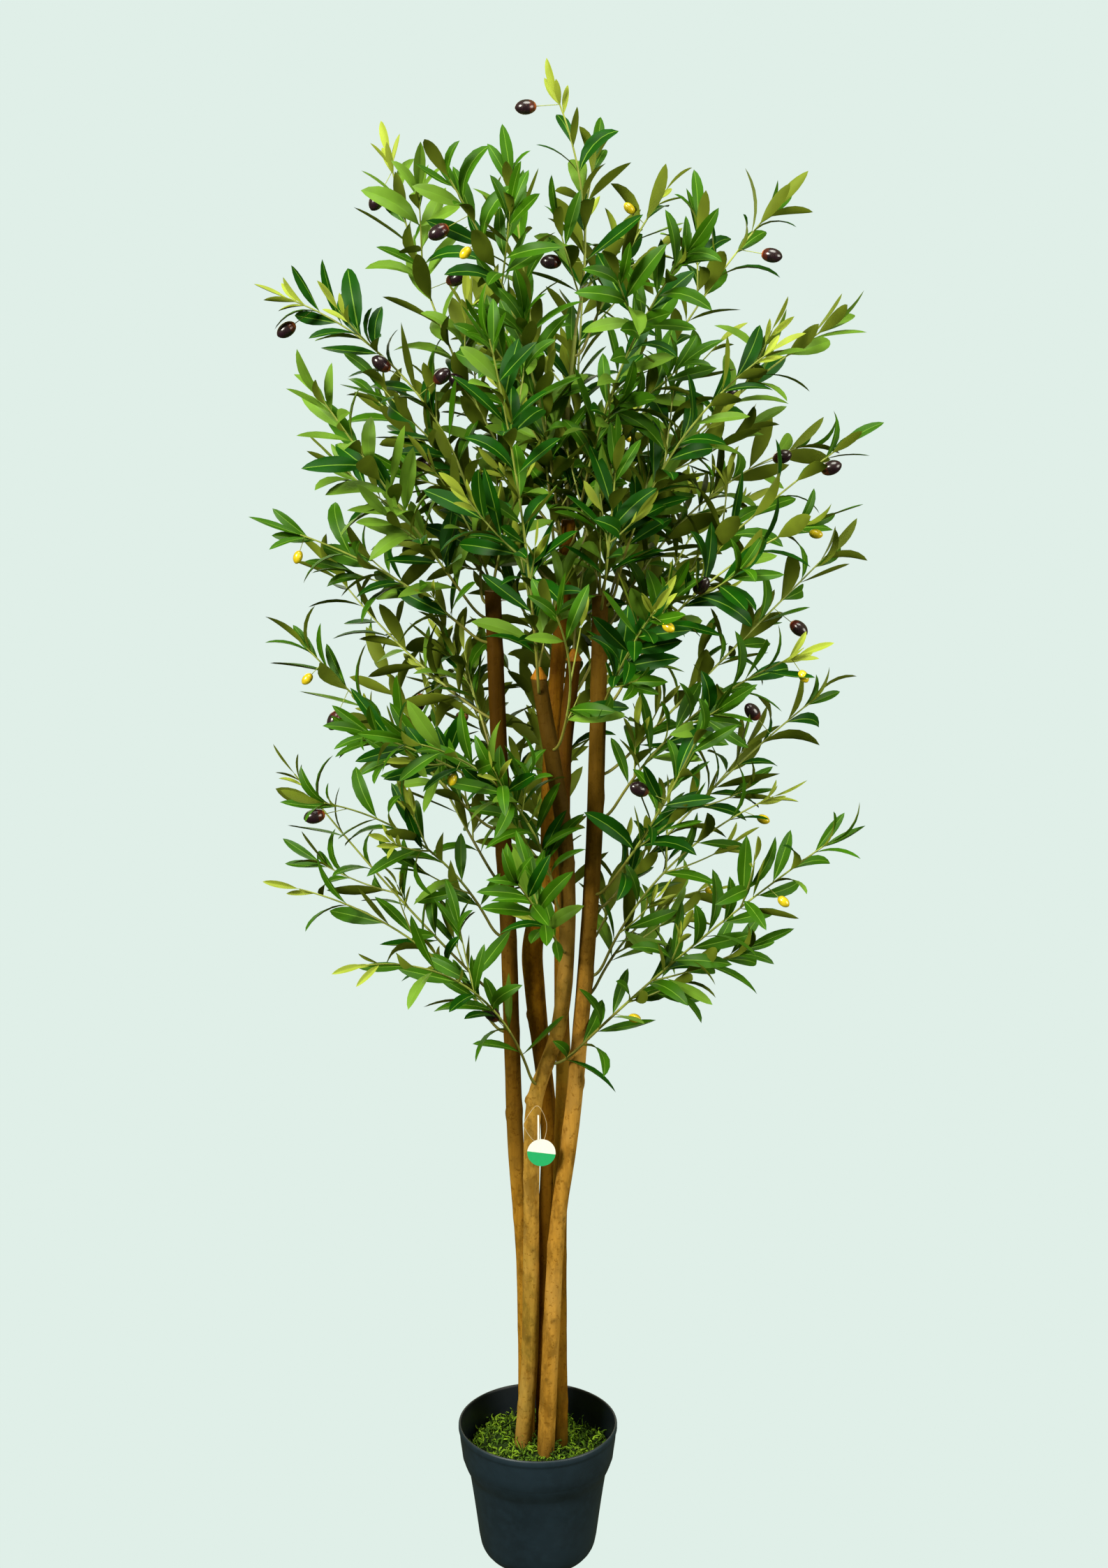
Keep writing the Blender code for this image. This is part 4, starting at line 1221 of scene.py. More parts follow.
def grow_top_shoots():
    """Leafy shoots that stand on the poles' tops and cones."""
    found = []
    for pole in POLES:
        draw = random.Random(pole.name + " top")
        group = "top" if pole.name == "middle" else pole.name
        top = Vector(pole.bends[-1])
        if pole.has_cone:
            top.z += CONE_HEIGHT
        for heading, rise, length in TOP_SHOOTS[pole.name]:
            line = stem_line(top, heading, rise, length, draw.uniform(*TOP_BENDS),
                             draw.uniform(*TOP_SWEEPS), TWIG_STEPS)
            found.append(Shoot([top - Vector((0, 0, ROOT_DEPTH))] + line[1:], TOP_RADIUS,
                               TOP_AGE, TOP_START, group, FULLNESS["top_shoots"], FRESH,
                               draw.random() < YOUNG_SHARE))
    return found


def node_faces(node):
    """A tree of a node's faces, for seating sprays on it."""
    mesh = frame["nodes"][node].data
    return BVHTree.FromPolygons([v.co for v in mesh.vertices],
                                [p.vertices[:] for p in mesh.polygons])


# Geometry Nodes

RANDOM_KINDS = ("FLOAT_VECTOR", "FLOAT", "INT")  # in the order of the node's sockets


class Tree(Nodes):
    """A Geometry Nodes tree under way, from its inputs to its output."""

    def __init__(self, name, inputs):
        self.group = bpy.data.node_groups.new(name, "GeometryNodeTree")
        super().__init__(self.group)
        sockets = self.group.interface
        sockets.new_socket("Geometry", in_out="INPUT", socket_type="NodeSocketGeometry")
        for label, kind in inputs.items():
            sockets.new_socket(label, in_out="INPUT", socket_type="NodeSocket" + kind)
        sockets.new_socket("Geometry", in_out="OUTPUT", socket_type="NodeSocketGeometry")
        self.inputs = self.nodes.new("NodeGroupInput").outputs

    def attribute(self, name, kind):
        return self.out("GeometryNodeInputNamedAttribute", "Attribute", {"Name": name},
                        data_type=kind)

    def random(self, kind, low, high, seed):
        """A value from low to high, drawn for each point."""
        number = RANDOM_KINDS.index(kind)
        return self.out("FunctionNodeRandomValue", number, {
            2 * number: low, 2 * number + 1: high, "Seed": seed}, data_type=kind)

    def above(self, value, limit):
        return self.out("FunctionNodeCompare", "Result", {0: value, 1: limit},
                        data_type="FLOAT", operation="GREATER_THAN")

    def deal(self, points, collection, pick, turn, size):
        """Instances of a collection's shapes on points."""
        shapes = self.out("GeometryNodeCollectionInfo", "Instances", {
            "Collection": collection, "Separate Children": True, "Reset Children": True})
        return self.out("GeometryNodeInstanceOnPoints", "Instances", {
            "Points": points, "Instance": shapes, "Pick Instance": True,
            "Instance Index": pick, "Rotation": turn, "Scale": size})

    def realize(self, geometry):
        return self.out("GeometryNodeRealizeInstances", "Geometry", {"Geometry": geometry})

    def paint(self, geometry, label, chosen=True):
        """Gives the chosen faces the material of the input with that label."""
        return self.out("GeometryNodeSetMaterial", "Geometry", {
            "Geometry": geometry, "Selection": chosen, "Material": self.inputs[label]})

    def paint_codes(self, geometry, code, labels):
        """Gives the faces of code 0 the first label's material, and so on."""
        for number, label in enumerate(labels):
            chosen = self.out("FunctionNodeCompare", "Result", {2: code, 3: number},
                              data_type="INT", operation="EQUAL")
            geometry = self.paint(geometry, label, chosen)
        return geometry

    def finish(self, geometry):
        output = self.nodes.new("NodeGroupOutput")
        self.links.new(geometry, output.inputs[0])
        return self.group


def run_tree(name, mesh, group, values):
    """Runs a tree on a mesh and returns the plain mesh that it gives."""
    carrier = add_object(name, mesh)
    modifier = carrier.modifiers.new(group.name, "NODES")
    modifier.node_group = group
    for item in group.interface.items_tree:
        if item.in_out == "INPUT" and item.name in values:
            modifier[item.identifier] = values[item.name]
    bpy.context.view_layer.update()
    evaluated = carrier.evaluated_get(bpy.context.evaluated_depsgraph_get())
    result = bpy.data.meshes.new_from_object(evaluated)
    result.name = name
    bpy.data.objects.remove(carrier)
    used = {face.material_index for face in result.polygons}
    for slot in reversed(range(len(result.materials))):
        if slot not in used:
            result.materials.pop(index=slot)
    for helper in ("turn", "size", "shape", "tone", "part", "radius", "age"):
        attribute = result.attributes.get(helper)
        if attribute:
            result.attributes.remove(attribute)
    return result


def shape_collection(name, meshes):
    """A collection of shapes to deal out, in the order of their names."""
    collection = bpy.data.collections.new(name)
    bpy.context.scene.collection.children.link(collection)
    for mesh in meshes:
        collection.objects.link(bpy.data.objects.new(mesh.name, mesh))
    return collection


def remove_shapes(collection):
    for thing in list(collection.objects):
        bpy.data.objects.remove(thing)
    bpy.data.collections.remove(collection)


def dealer(name, table):
    """A tree that deals shapes out on points, turned and sized, and paints them.

    The table has a row for each tone, with the material input for each part of a shape.
    """
    labels = [label for row in table for label in row]
    tree = Tree(name, {"Shapes": "Collection",
                       **{label: "Material" for label in sorted(set(labels))}})
    dealt = tree.deal(tree.inputs["Geometry"], tree.inputs["Shapes"],
                      tree.attribute("shape", "INT"), tree.attribute("turn", "QUATERNION"),
                      tree.attribute("size", "FLOAT_VECTOR"))
    scaled = tree.math("MULTIPLY", tree.attribute("tone", "INT"), len(table[0]))
    code = tree.math("ADD", scaled, tree.attribute("part", "INT"))
    return tree.finish(tree.paint_codes(tree.realize(dealt), code, labels))


def mark_points(mesh, label, kind, values):
    """Stores a number or a tuple for each point."""
    attribute = mesh.attributes.new(label, kind, "POINT")
    key = "vector" if kind == "FLOAT_VECTOR" else "value"
    attribute.data.foreach_set(key, np.ravel(values).tolist())


def point_mesh(name, places, turns, sizes, shapes, tones):
    """Points with what the dealer reads at each."""
    mesh = bpy.data.meshes.new(name)
    mesh.from_pydata([tuple(p) for p in places], [], [])
    mark_points(mesh, "turn", "QUATERNION", [tuple(t.to_quaternion()) for t in turns])
    mark_points(mesh, "size", "FLOAT_VECTOR", sizes)
    mark_points(mesh, "shape", "INT", shapes)
    mark_points(mesh, "tone", "INT", tones)
    return mesh


def tube_tree():
    """A tree that turns chains of edges into round stems, old below and young above."""
    tree = Tree("Stems", {"Sides": "Int", "Young from": "Float", "Old stem": "Material",
                          "Young stem": "Material"})
    curve = tree.out("GeometryNodeMeshToCurve", "Curve", {"Mesh": tree.inputs["Geometry"]})
    ring = tree.out("GeometryNodeCurvePrimitiveCircle", "Curve", {
        "Resolution": tree.inputs["Sides"], "Radius": 1.0})
    tube = tree.out("GeometryNodeCurveToMesh", "Mesh", {
        "Curve": curve, "Profile Curve": ring, "Fill Caps": True,
        "Scale": tree.attribute("radius", "FLOAT")})
    old = tree.paint(tree.realize(tube), "Old stem")
    is_young = tree.above(tree.attribute("age", "FLOAT"), tree.inputs["Young from"])
    return tree.finish(tree.paint(old, "Young stem", is_young))


def chain_mesh(name, chains):
    """Chains of edges. A chain is its points, and the radius and age at both ends."""
    places, edges, radii, ages = [], [], [], []
    for points, (thick, thin), (old, young) in chains:
        for i, point in enumerate(points):
            share = i / (len(points) - 1)
            if i:
                edges.append((len(places) - 1, len(places)))
            places.append(tuple(point))
            radii.append(thick + (thin - thick) * share)
            ages.append(old + (young - old) * share)
    mesh = bpy.data.meshes.new(name)
    mesh.from_pydata(places, edges, [])
    mark_points(mesh, "radius", "FLOAT", radii)
    mark_points(mesh, "age", "FLOAT", ages)
    return mesh


# Pot

POT_OUTSIDE = (
    (0.0500, 0.0010), (0.0515, 0.0), (0.0552, 0.0), (0.0602, 0.0022), (0.0645, 0.0056),
    (0.0678, 0.0097), (0.0700, 0.0138), (0.0714, 0.0178), (0.0736, 0.0296), (0.0765, 0.0528),
    (0.0795, 0.0760), (0.0817, 0.0920), (0.0838, 0.1060), (0.0846, 0.1115),
    (0.0858, 0.1150), (0.0885, 0.1205), (0.0912, 0.1275), (0.0924, 0.1315),
    (0.0928, 0.1330), (0.0935, 0.1345), (0.0947, 0.1450), (0.0962, 0.1560),
    (0.0970, 0.1655), (0.0972, 0.1675), (0.0980, 0.1690), (0.0983, 0.1705),
    (0.0983, 0.1750), (0.0979, 0.1764), (0.0971, 0.1770))
POT_INSIDE = (
    (0.0958, 0.1769), (0.0951, 0.1760), (0.0946, 0.1740), (0.0932, 0.1500),
    (0.0904, 0.1330), (0.0832, 0.1150), (0.0780, 0.0900))


def wall_radius(height):
    """Half the clear width inside the pot."""
    radii, heights = zip(*reversed(POT_INSIDE))
    return float(np.interp(height, heights, radii))


def plastic_finish(name, colour):
    finish = Finish(name, colour, 0.42, Specular_IOR_Level=0.4)
    place = finish.place()
    blotch = finish.spots(place, 13, 2, 0.35, 0.7)
    cool = finish.mix(blotch, shade(colour, 0.86), shade(colour, 1.22))
    fine = finish.spots(place, 90, 4, 0.42, 0.75)
    finish.set("Base Color", finish.mix(fine, cool, shade(colour, 1.35)))
    wear = finish.noise(place, 34, 3)
    finish.set("Roughness", finish.band(wear, 0, 1, 0.36, 0.52))
    finish.bump(finish.noise(place, 1500, 2), 0.00006, 0.6)
    return finish.material


class OLIVETREE_OT_pot(bpy.types.Operator):
    """Turn the nursery pot, with its band and lip"""

    bl_idname = "olive_tree.pot"
    bl_label = "Pot"

    def execute(self, context):
        pot = context.scene.olive_tree_pot
        mesh = mesh_from("nursery_pot", lathe(POT_OUTSIDE + POT_INSIDE, pot.sides))
        smooth(mesh, sharp=38)
        mesh.materials.append(plastic_finish("pot plastic", pot.colour))
        # The inside wall is the same plastic at a quarter of its brightness: painted shade in the
        # pot's hollow.
        mesh.materials.append(plastic_finish("pot inside", shade(pot.colour, 0.25)))
        for face in mesh.polygons:
            x, y, z = face.center
            inside = z > POT_INSIDE[-1][1] and math.hypot(x, y) < wall_radius(z) + 0.001
            face.material_index = int(inside)
        new_piece("nursery_pot", mesh, ["pot"])
        return {"FINISHED"}


# Moss, and the weight under it

MOSS_BED = 0.1184
MOSS_RADIUS = 0.0915
MOSS_RINGS = 22
MOSS_SIDES = 72
MOSS_FOOT_RADIUS = 0.0838
MOSS_EDGE = 0.02  # how far from its rim the bed begins to drop
MOSS_DOME = (0.006, 0.010)  # how much higher its middle is, and that to the back left
LUMP_SCALES = (38, 110)
LUMP_SEEDS = (1.7, 4.2)
FIBRE_TOP = 0.4  # the least upward slope that fibres grow on
FIBRE_SIZES = (0.55, 1.25)
FIBRE_LEAN = 0.5
FIBRE_SEEDS = (5, 3, 4, 9)  # for where they stand, their turn, size and tone
FIBRE_TONES = ("Light", "Light", "Middle", "Middle", "Middle", "Dark")
CLUMP_SCALE = 95
CLUMP_LEVELS = (0.36, 0.64, 5.4, 0.0)  # noise from and to, and the tones from and to
STRAY = 1.3  # tones that a fibre may be off its clump's
WALL_GAP = 0.0006  # between the fibres and the pot
CURL_SHAPES = 8
CURL_STEPS = 7
CURL_SIDES = 3
CURL_ROOT = -0.1
CURL_SLOPES = (15, 65)  # at the root, from upright
CURL_BENDS = (-12, 40)  # of the slope at each step
CURL_TURNS = (-75, 75)  # of the heading
CURL_RADII = (0.065, 0.135)
CURL_TAPER = 0.7


def moss_height(moss, x, y, radius):
    """The height of the bed's lumpy top."""
    coarse, fine = (noise.noise(Vector((x * scale, y * scale, seed)))
                    for scale, seed in zip(LUMP_SCALES, LUMP_SEEDS))
    edge = min(1.0, (MOSS_RADIUS - radius) / MOSS_EDGE)
    lean = (y - x) / MOSS_RADIUS * 0.5
    z = moss.height + moss.relief * ((coarse + 0.5 * fine) * 0.45 - 0.35 * (1 - edge))
    middle, back = MOSS_DOME
    return z + (1 - (radius / MOSS_RADIUS) ** 2) * (middle + back * max(0.0, lean))


def moss_mesh(moss):
    """A closed bed with a lumpy top."""
    bm = bmesh.new()
    rings = [[bm.verts.new((MOSS_FOOT_RADIUS * c, MOSS_FOOT_RADIUS * s, MOSS_BED))
              for c, s in circle(MOSS_SIDES)]]
    for number in range(MOSS_RINGS):
        radius = MOSS_RADIUS * (1 - number / MOSS_RINGS)
        places = [(radius * c, radius * s) for c, s in circle(MOSS_SIDES)]
        rings.append([bm.verts.new((x, y, moss_height(moss, x, y, radius)))
                      for x, y in places])
    bridge_rings(bm, rings)
    close_ends(bm, rings)
    return bm


def curl_mesh(number):
    """One curled fibre, one long, that starts at the origin and rises along +Z."""
    draw = random.Random(f"curl {number}")
    bm = bmesh.new()
    rings = []
    place = Vector((0, 0, CURL_ROOT))
    slope = math.radians(draw.uniform(*CURL_SLOPES))
    heading = 0.0
    thick = draw.uniform(*CURL_RADII)
    for step in range(CURL_STEPS + 1):
        way = Vector((math.sin(slope) * math.cos(heading),
                      math.sin(slope) * math.sin(heading), math.cos(slope)))
        radius = thick * (1 - CURL_TAPER * step / CURL_STEPS)
        across = way.orthogonal().normalized()
        rings.append(ring_round(bm, place, across, way.cross(across), radius, CURL_SIDES))
        place = place + way / CURL_STEPS
        slope += math.radians(draw.uniform(*CURL_BENDS))
        heading += math.radians(draw.uniform(*CURL_TURNS))
    bridge_rings(bm, rings)
    close_ends(bm, rings)
    mesh = mesh_from(f"curl_{number:02d}", bm, outward=True)
    mesh.shade_smooth()
    return mesh


def fibre_tree():
    """A tree that scatters curled fibres over a bed, in three tones."""
    tree = Tree("Moss fibres", {
        "Curls": "Collection", "Density": "Float", "Length": "Float", "Seed": "Int",
        "Light": "Material", "Middle": "Material", "Dark": "Material"})
    seed = tree.inputs["Seed"]
    _, turn_seed, size_seed, tone_seed = FIBRE_SEEDS
    normal = tree.out("GeometryNodeInputNormal", "Normal")
    slope = tree.out("ShaderNodeSeparateXYZ", "Z", {0: normal})
    points = tree.out("GeometryNodeDistributePointsOnFaces", "Points", {
        "Mesh": tree.inputs["Geometry"], "Selection": tree.above(slope, FIBRE_TOP),
        "Density": tree.inputs["Density"], "Seed": seed})
    turn = tree.random("FLOAT_VECTOR", (-FIBRE_LEAN, -FIBRE_LEAN, 0.0),
                       (FIBRE_LEAN, FIBRE_LEAN, 2 * math.pi), turn_seed)
    size = tree.random("FLOAT", *FIBRE_SIZES, size_seed)
    dealt = tree.deal(points, tree.inputs["Curls"],
                      tree.random("INT", 0, CURL_SHAPES - 1, seed), turn,
                      tree.math("MULTIPLY", size, tree.inputs["Length"]))
    place = tree.out("GeometryNodeInputPosition", "Position")
    clump = tree.out("ShaderNodeTexNoise", 0, {
        "Vector": place, "Scale": CLUMP_SCALE, "Detail": 1.0})
    tone = tree.math("ADD", tree.band(clump, *CLUMP_LEVELS),
                     tree.random("FLOAT", -STRAY, STRAY, tone_seed))
    tone = tree.out("ShaderNodeClamp", "Result", {
        "Value": tone, "Min": 0.0, "Max": len(FIBRE_TONES) - 1})
    marked = tree.out("GeometryNodeStoreNamedAttribute", "Geometry", {
        "Geometry": dealt, "Name": "tone", "Value": tone}, data_type="INT",
        domain="INSTANCE")
    code = tree.attribute("tone", "INT")
    return tree.finish(tree.paint_codes(tree.realize(marked), code, FIBRE_TONES))


def moss_finish(name, colour):
    return patched_finish(name, colour, 0.9, (60, 3, 0.35, 0.7), (0.62, 1.25),
                          (900, 2, 0.0002, 0.5), Specular_IOR_Level=0.2)


def cement_finish():
    return patched_finish("cast weight", (0.36, 0.35, 0.33), 0.92,
                          (220, 6, 0.35, 0.7), (0.8, 1.15), (400, 4, 0.0003, 0.6))


class OLIVETREE_OT_moss(bpy.types.Operator):
    """Make the moss bed with its curled fibres, and finish the weight under it"""

    bl_idname = "olive_tree.moss"
    bl_label = "Moss"

    def execute(self, context):
        moss = context.scene.olive_tree_moss
        # The bed takes the dark tone as painted shade between the fibres.
        dark = moss_finish("moss bed", moss.dark)
        tones = {"Light": moss_finish("bright moss", moss.light),
                 "Middle": moss_finish("moss", moss.middle), "Dark": dark}
        bed = mesh_from("moss_bed", moss_mesh(moss))
        smooth(bed, sharp=80)
        curls = shape_collection("curls", [curl_mesh(n) for n in range(CURL_SHAPES)])
        fibres = run_tree("moss_fibres", bed.copy(), fibre_tree(), {
            "Curls": curls, "Density": moss.density, "Length": moss.fibre,
            "Seed": FIBRE_SEEDS[0], **tones})
        remove_shapes(curls)
        for vertex in fibres.vertices:
            away = math.hypot(vertex.co.x, vertex.co.y)
            limit = wall_radius(vertex.co.z) - WALL_GAP
            if away > limit:
                vertex.co.x *= limit / away
                vertex.co.y *= limit / away
        bed.materials.append(dark)
        new_piece("moss_bed", bed, ["moss"])
        new_piece("moss_fibres", fibres)
        weight = frame["nodes"]["filler"]
        weight.data.materials.clear()
        weight.data.materials.append(cement_finish())
        return {"FINISHED"}


# Poles

KNOTS = {
    # height, heading in degrees, radius and how far each stands out
    "left": ((0.575, 188, 0.0052, 0.0016), (0.905, 20, 0.0050, 0.0014),
             (0.330, -60, 0.0048, 0.0010)),
    "front": ((0.610, 188, 0.0056, 0.0042), (0.655, -60, 0.0050, 0.0010),
              (0.300, -100, 0.0052, 0.0012), (0.420, -80, 0.0045, 0.0009),
              (0.900, -20, 0.0050, 0.0014)),
    "middle": ((0.690, 182, 0.0055, 0.0024), (0.480, -70, 0.0050, 0.0012)),
    "back": ((0.520, -40, 0.0050, 0.0014), (0.760, -90, 0.0048, 0.0012)),
    "right": ((0.628, 10, 0.0060, 0.0018), (0.560, 200, 0.0048, 0.0012),
              (0.330, -80, 0.0050, 0.0013), (0.250, -110, 0.0042, 0.0009),
              (0.460, -50, 0.0046, 0.0010)),
}
SWELLS = {"middle": (0.76, 0.11, 0.0030)}  # height, reach and how much thicker
COLLAR_START = 0.2
COLLAR_END = 0.03  # below the top
COLLAR_SPACING = (0.075, 0.15)
COLLAR_REACH = 0.009
COLLAR_SIZES = (0.0004, 0.0011)
OVAL = 0.0003  # how far out of round a pole is
OVAL_TWIST = 6  # radians for each metre up
KNOT_REACH = 1.6  # radii of the knot
END_UV_SCALE = 20
TOP_EDGE = ((0.0004, 0.96), (0.0006, 0.9), (0.0005, 0.5))  # lift and share of the radius

Bark = namedtuple("Bark", "base tint moss shaded steps")

# The colour that a bark starts from and its tint, the share of moss on it, and the tint
# of its painted shade, which stands in for the shadow of the crown above and of the poles
# in front. A step is the height where that painted shade starts to come in and where it
# is full, and its share. The back pole's tint darkens its wood further, as painted shade.
BARKS = {
    "left": Bark("golden", (0.94, 0.84, 0.5), 0.0, (0.10, 0.085, 0.0),
                 ((0.46, 0.56, 0.66), (0.70, 0.98, 0.85))),
    "front": Bark("golden", (1, 1, 1), 0.22, (0.10, 0.085, 0.0),
                  ((0.66, 0.80, 0.40), (0.70, 0.98, 0.85))),
    "middle": Bark("brown", (1, 1, 1), 0.0, (0.17, 0.13, 0.0),
                   ((0.70, 0.62, 0.70), (0.80, 1.05, 0.70))),
    "back": Bark("brown", (0.75, 0.75, 0.75), 0.3, (0.17, 0.12, 0.0),
                 ((0.80, 0.50, 0.45), (0.70, 0.98, 0.85))),
    "right": Bark("orange", (1, 1, 1), 0.0, (0.14, 0.14, 0.0),
                  ((0.66, 0.80, 0.30), (0.70, 0.98, 0.80))),
}
MOSS_STAIN = (0.17, 0.17, 0.02)
PAINTED_FOOT_SHADE = (0.185, 0.150)  # heights between which painted shade darkens a pole's foot into the moss

CONE_SIDES = 32
CONE_PROFILE = (
    (0.0092, 0.0005), (0.0095, 0.0012), (0.0092, 0.0022), (0.0078, 0.0046),
    (0.0058, 0.0082), (0.0039, 0.0117), (0.0029, 0.0134), (0.0019, 0.0142),
    (0.0010, CONE_HEIGHT))


def pole_line(pole, wood):
    """A pole's middle from its socket to its top, in short steps."""
    foot = Vector(pole.bends[0])
    count = round((pole.bends[-1][2] - foot.z) / wood.ring_pitch)
    return [Vector((foot.x, foot.y, POLE_SOCKET_FLOOR))] + smooth_line(pole.bends, count)


def pole_relief(pole, wood, collars, z, angle):
    """How far the bark stands out there, and how much of a knot it is."""
    turn = level_way(angle)
    grain = noise.fractal(turn * 1.5 + Vector((0, 0, z * 7)), 1.0, 2.0, 3)
    fine = noise.noise(turn * 5 + Vector((3.1, 0, z * 30)))
    out = wood.ridge * (0.8 * grain + 0.28 * fine)
    out += OVAL * math.cos(2 * angle + OVAL_TWIST * z)
    for height, heading, size in collars:
        away = (z - height) / COLLAR_REACH
        if abs(away) < 3:
            out += size * math.exp(-away * away) * (0.5 + 0.5 * math.cos(angle - heading))
    height, reach, size = SWELLS.get(pole.name, (0.0, 1.0, 0.0))
    out += size * math.exp(-((z - height) / reach) ** 2)
    dark = 0.0
    for height, heading, radius, stand in KNOTS[pole.name]:
        around = (angle - math.radians(heading) + math.pi) % (2 * math.pi) - math.pi
        away = math.hypot(z - height, around * pole.foot_radius) / radius
        if away < KNOT_REACH:
            rise = max(0.0, 1 - away ** 2 / 2.2) ** 2
            dip = 0.45 * math.exp(-(away * 2.4) ** 2)
            out += stand * (rise - dip)
            dark = max(dark, math.exp(-(away * 1.5) ** 2))
    return out, dark


def draw_collars(pole):
    """The height, heading and size of a pole's low swellings."""
    draw = random.Random(pole.name + " collars")
    collars = []
    height = COLLAR_START
    while height < pole.bends[-1][2] - COLLAR_END:
        collars.append((height, draw.uniform(0, 2 * math.pi), draw.uniform(*COLLAR_SIZES)))
        height += draw.uniform(*COLLAR_SPACING)
    return collars


def pole_mesh(pole, wood):
    """A pole with its bark's relief, sawn off at the top."""
    collars = draw_collars(pole)
    bm = bmesh.new()
    knot = bm.verts.layers.float.new("knot")
    uv = bm.loops.layers.uv.new("UVMap")
    line = pole_line(pole, wood)
    rings = []
    for number, centre in enumerate(line):
        share = max(number - 1, 0) / (len(line) - 2)
        base = pole.foot_radius + (pole.top_radius - pole.foot_radius) * share
        ring = []
        for i in range(wood.sides):
            angle = 2 * math.pi * i / wood.sides
            out, dark = pole_relief(pole, wood, collars, centre.z, angle)
            radius = base + (out if number else 0.0)
            ring.append(bm.verts.new(centre + level_way(angle) * radius))
            ring[-1][knot] = dark
        rings.append(ring)
    top = line[-1]
    edge = rings[-1]
    for lift, share in TOP_EDGE:
        rings.append([bm.verts.new(top + (v.co - top) * share + Vector((0, 0, lift)))
                      for v in edge])
    faces = bridge_rings(bm, rings)
    faces.append(close_ends(bm, rings))
    for face in faces[-2 * wood.sides - 1:]:
        face.material_index = 1
        for loop in face.loops:
            away = loop.vert.co - top
            loop[uv].uv = (0.5 + away.x * END_UV_SCALE, 0.5 + away.y * END_UV_SCALE)
    return mesh_from(pole.name + "_pole_bark", bm)


def bark_finish(name, light, bark):
    """Smooth thin bark: mottles, long streaks, dark flecks and dark knots, with painted shade by
    height and at the foot.
    """
    finish = Finish(name, light, 0.62, Specular_IOR_Level=0.06)
    dark = tint(light, (0.46, 0.38, 0.16))
    pale = tint(light, (1.3, 1.42, 2.2))
    place = finish.place()
    mottle = finish.spots(finish.place((1, 1, 0.5)), 62, 5, 0.46, 0.60, 0.7)
    streak = finish.spots(finish.place((1, 1, 0.12)), 190, 4, 0.42, 0.66, 0.6)
    fleck = finish.spots(place, 190, 3, 0.58, 0.64, 0.6)
    patch = finish.spots(finish.place((1, 1, 0.35)), 26, 3, 0.48, 0.68)
    colour = finish.mix(mottle, light, shade(light, 0.54))
    colour = finish.mix(streak, colour, dark, 0.46)
    colour = finish.mix(patch, colour, pale, 0.68)
    colour = finish.mix(fleck, colour, dark, 0.62)
    if bark.moss:
        green = finish.spots(place, 17, 3, 0.45, 0.62)
        colour = finish.mix(green, colour, MOSS_STAIN, bark.moss)
    height = finish.out("ShaderNodeSeparateXYZ", "Z", {0: place})
    # Painted shade: the bark darkens by height towards its shaded tint, under the crown and behind
    # the other poles.
    for start, stop, share in bark.steps:
        shaded = finish.band(height, start, stop)
        colour = finish.mix(shaded, colour, tint(light, bark.shaded), share)
    # Painted shade at the pole's foot, where it goes into the moss.
    colour = finish.mix(finish.band(height, *PAINTED_FOOT_SHADE), colour, shade(light, 0.2), 0.6)
    knot = finish.out("ShaderNodeAttribute", "Fac", attribute_name="knot")
    finish.set("Base Color", finish.mix(knot, colour, shade(light, 0.2), 0.8))
    relief = finish.math("ADD", streak, finish.math("MULTIPLY", fleck, -0.6))
    finish.bump(relief, 0.00035, 0.7)
    return finish.material


def end_grain_finish():
    colour = (0.40, 0.25, 0.10)
    finish = Finish("sawn end", colour, 0.8)
    source = finish.out("ShaderNodeUVMap", "UV", uv_map="UVMap")
    centred = finish.out("ShaderNodeMapping", "Vector", {
        "Vector": source, "Location": (-0.5, -0.5, 0)})
    rings = finish.out("ShaderNodeTexWave", "Fac", {
        "Vector": centred, "Scale": 9, "Distortion": 1.5, "Detail": 2},
        wave_type="RINGS", rings_direction="Z")
    finish.set("Base Color", finish.mix(rings, colour, shade(colour, 0.55)))
    finish.bump(rings, 0.0002, 0.5)
    return finish.material


def cone_mesh(pole):
    """The stained cone on a pole's top."""
    bm = lathe(CONE_PROFILE, CONE_SIDES)
    bmesh.ops.translate(bm, verts=bm.verts, vec=Vector(pole.bends[-1]))
    mesh = mesh_from(pole.name + "_pole_cone", bm)
    smooth(mesh, sharp=45)
    return mesh


def cone_finish(wood):
    finish = Finish("stained cone", wood.cone, 0.5, Specular_IOR_Level=0.1)
    grain = finish.spots(finish.place((1, 1, 0.2)), 420, 4, 0.4, 0.65)
    finish.set("Base Color", finish.mix(grain, wood.cone, shade(wood.cone, 0.6)))
    finish.bump(grain, 0.0002, 0.5)
    return finish.material


class OLIVETREE_OT_poles(bpy.types.Operator):
    """Make the five wood poles with their bark, sawn ends and cones"""

    bl_idname = "olive_tree.poles"
    bl_label = "Poles"

    def execute(self, context):
        wood = context.scene.olive_tree_wood
        end_grain = end_grain_finish()
        cone = cone_finish(wood)
        for pole in POLES:
            bark = BARKS[pole.name]
            light = tint(getattr(wood, bark.base), bark.tint)
            mesh = pole_mesh(pole, wood)
            mesh.materials.append(bark_finish(pole.name + " bark", light, bark))
            mesh.materials.append(end_grain)
            smooth(mesh, sharp=50)
            new_piece(pole.name + "_pole_bark", mesh, [pole.name + "_pole"])
            if pole.has_cone:
                mesh = cone_mesh(pole)
                mesh.materials.append(cone)
                new_piece(pole.name + "_pole_cone", mesh)
        return {"FINISHED"}


# Stems and leaves

STEM_SIDES = 7
OLD_UNTIL = 0.35  # of a stem's age, which is 0 at its root and 1 at its tip
LEADER_AGES = (0.0, 0.6)
WIRE_AGES = (0.4, 0.4)


def nodes_of(group):
    return [spray.name for spray in SPRAYS if spray.group == group]


def stem_finish(name, colour):
    return patched_finish(name, colour, 0.5, (45, 3, 0.38, 0.68), (0.72, 1.15),
                          (700, 2, 0.0001, 0.5), Specular_IOR_Level=0.4)


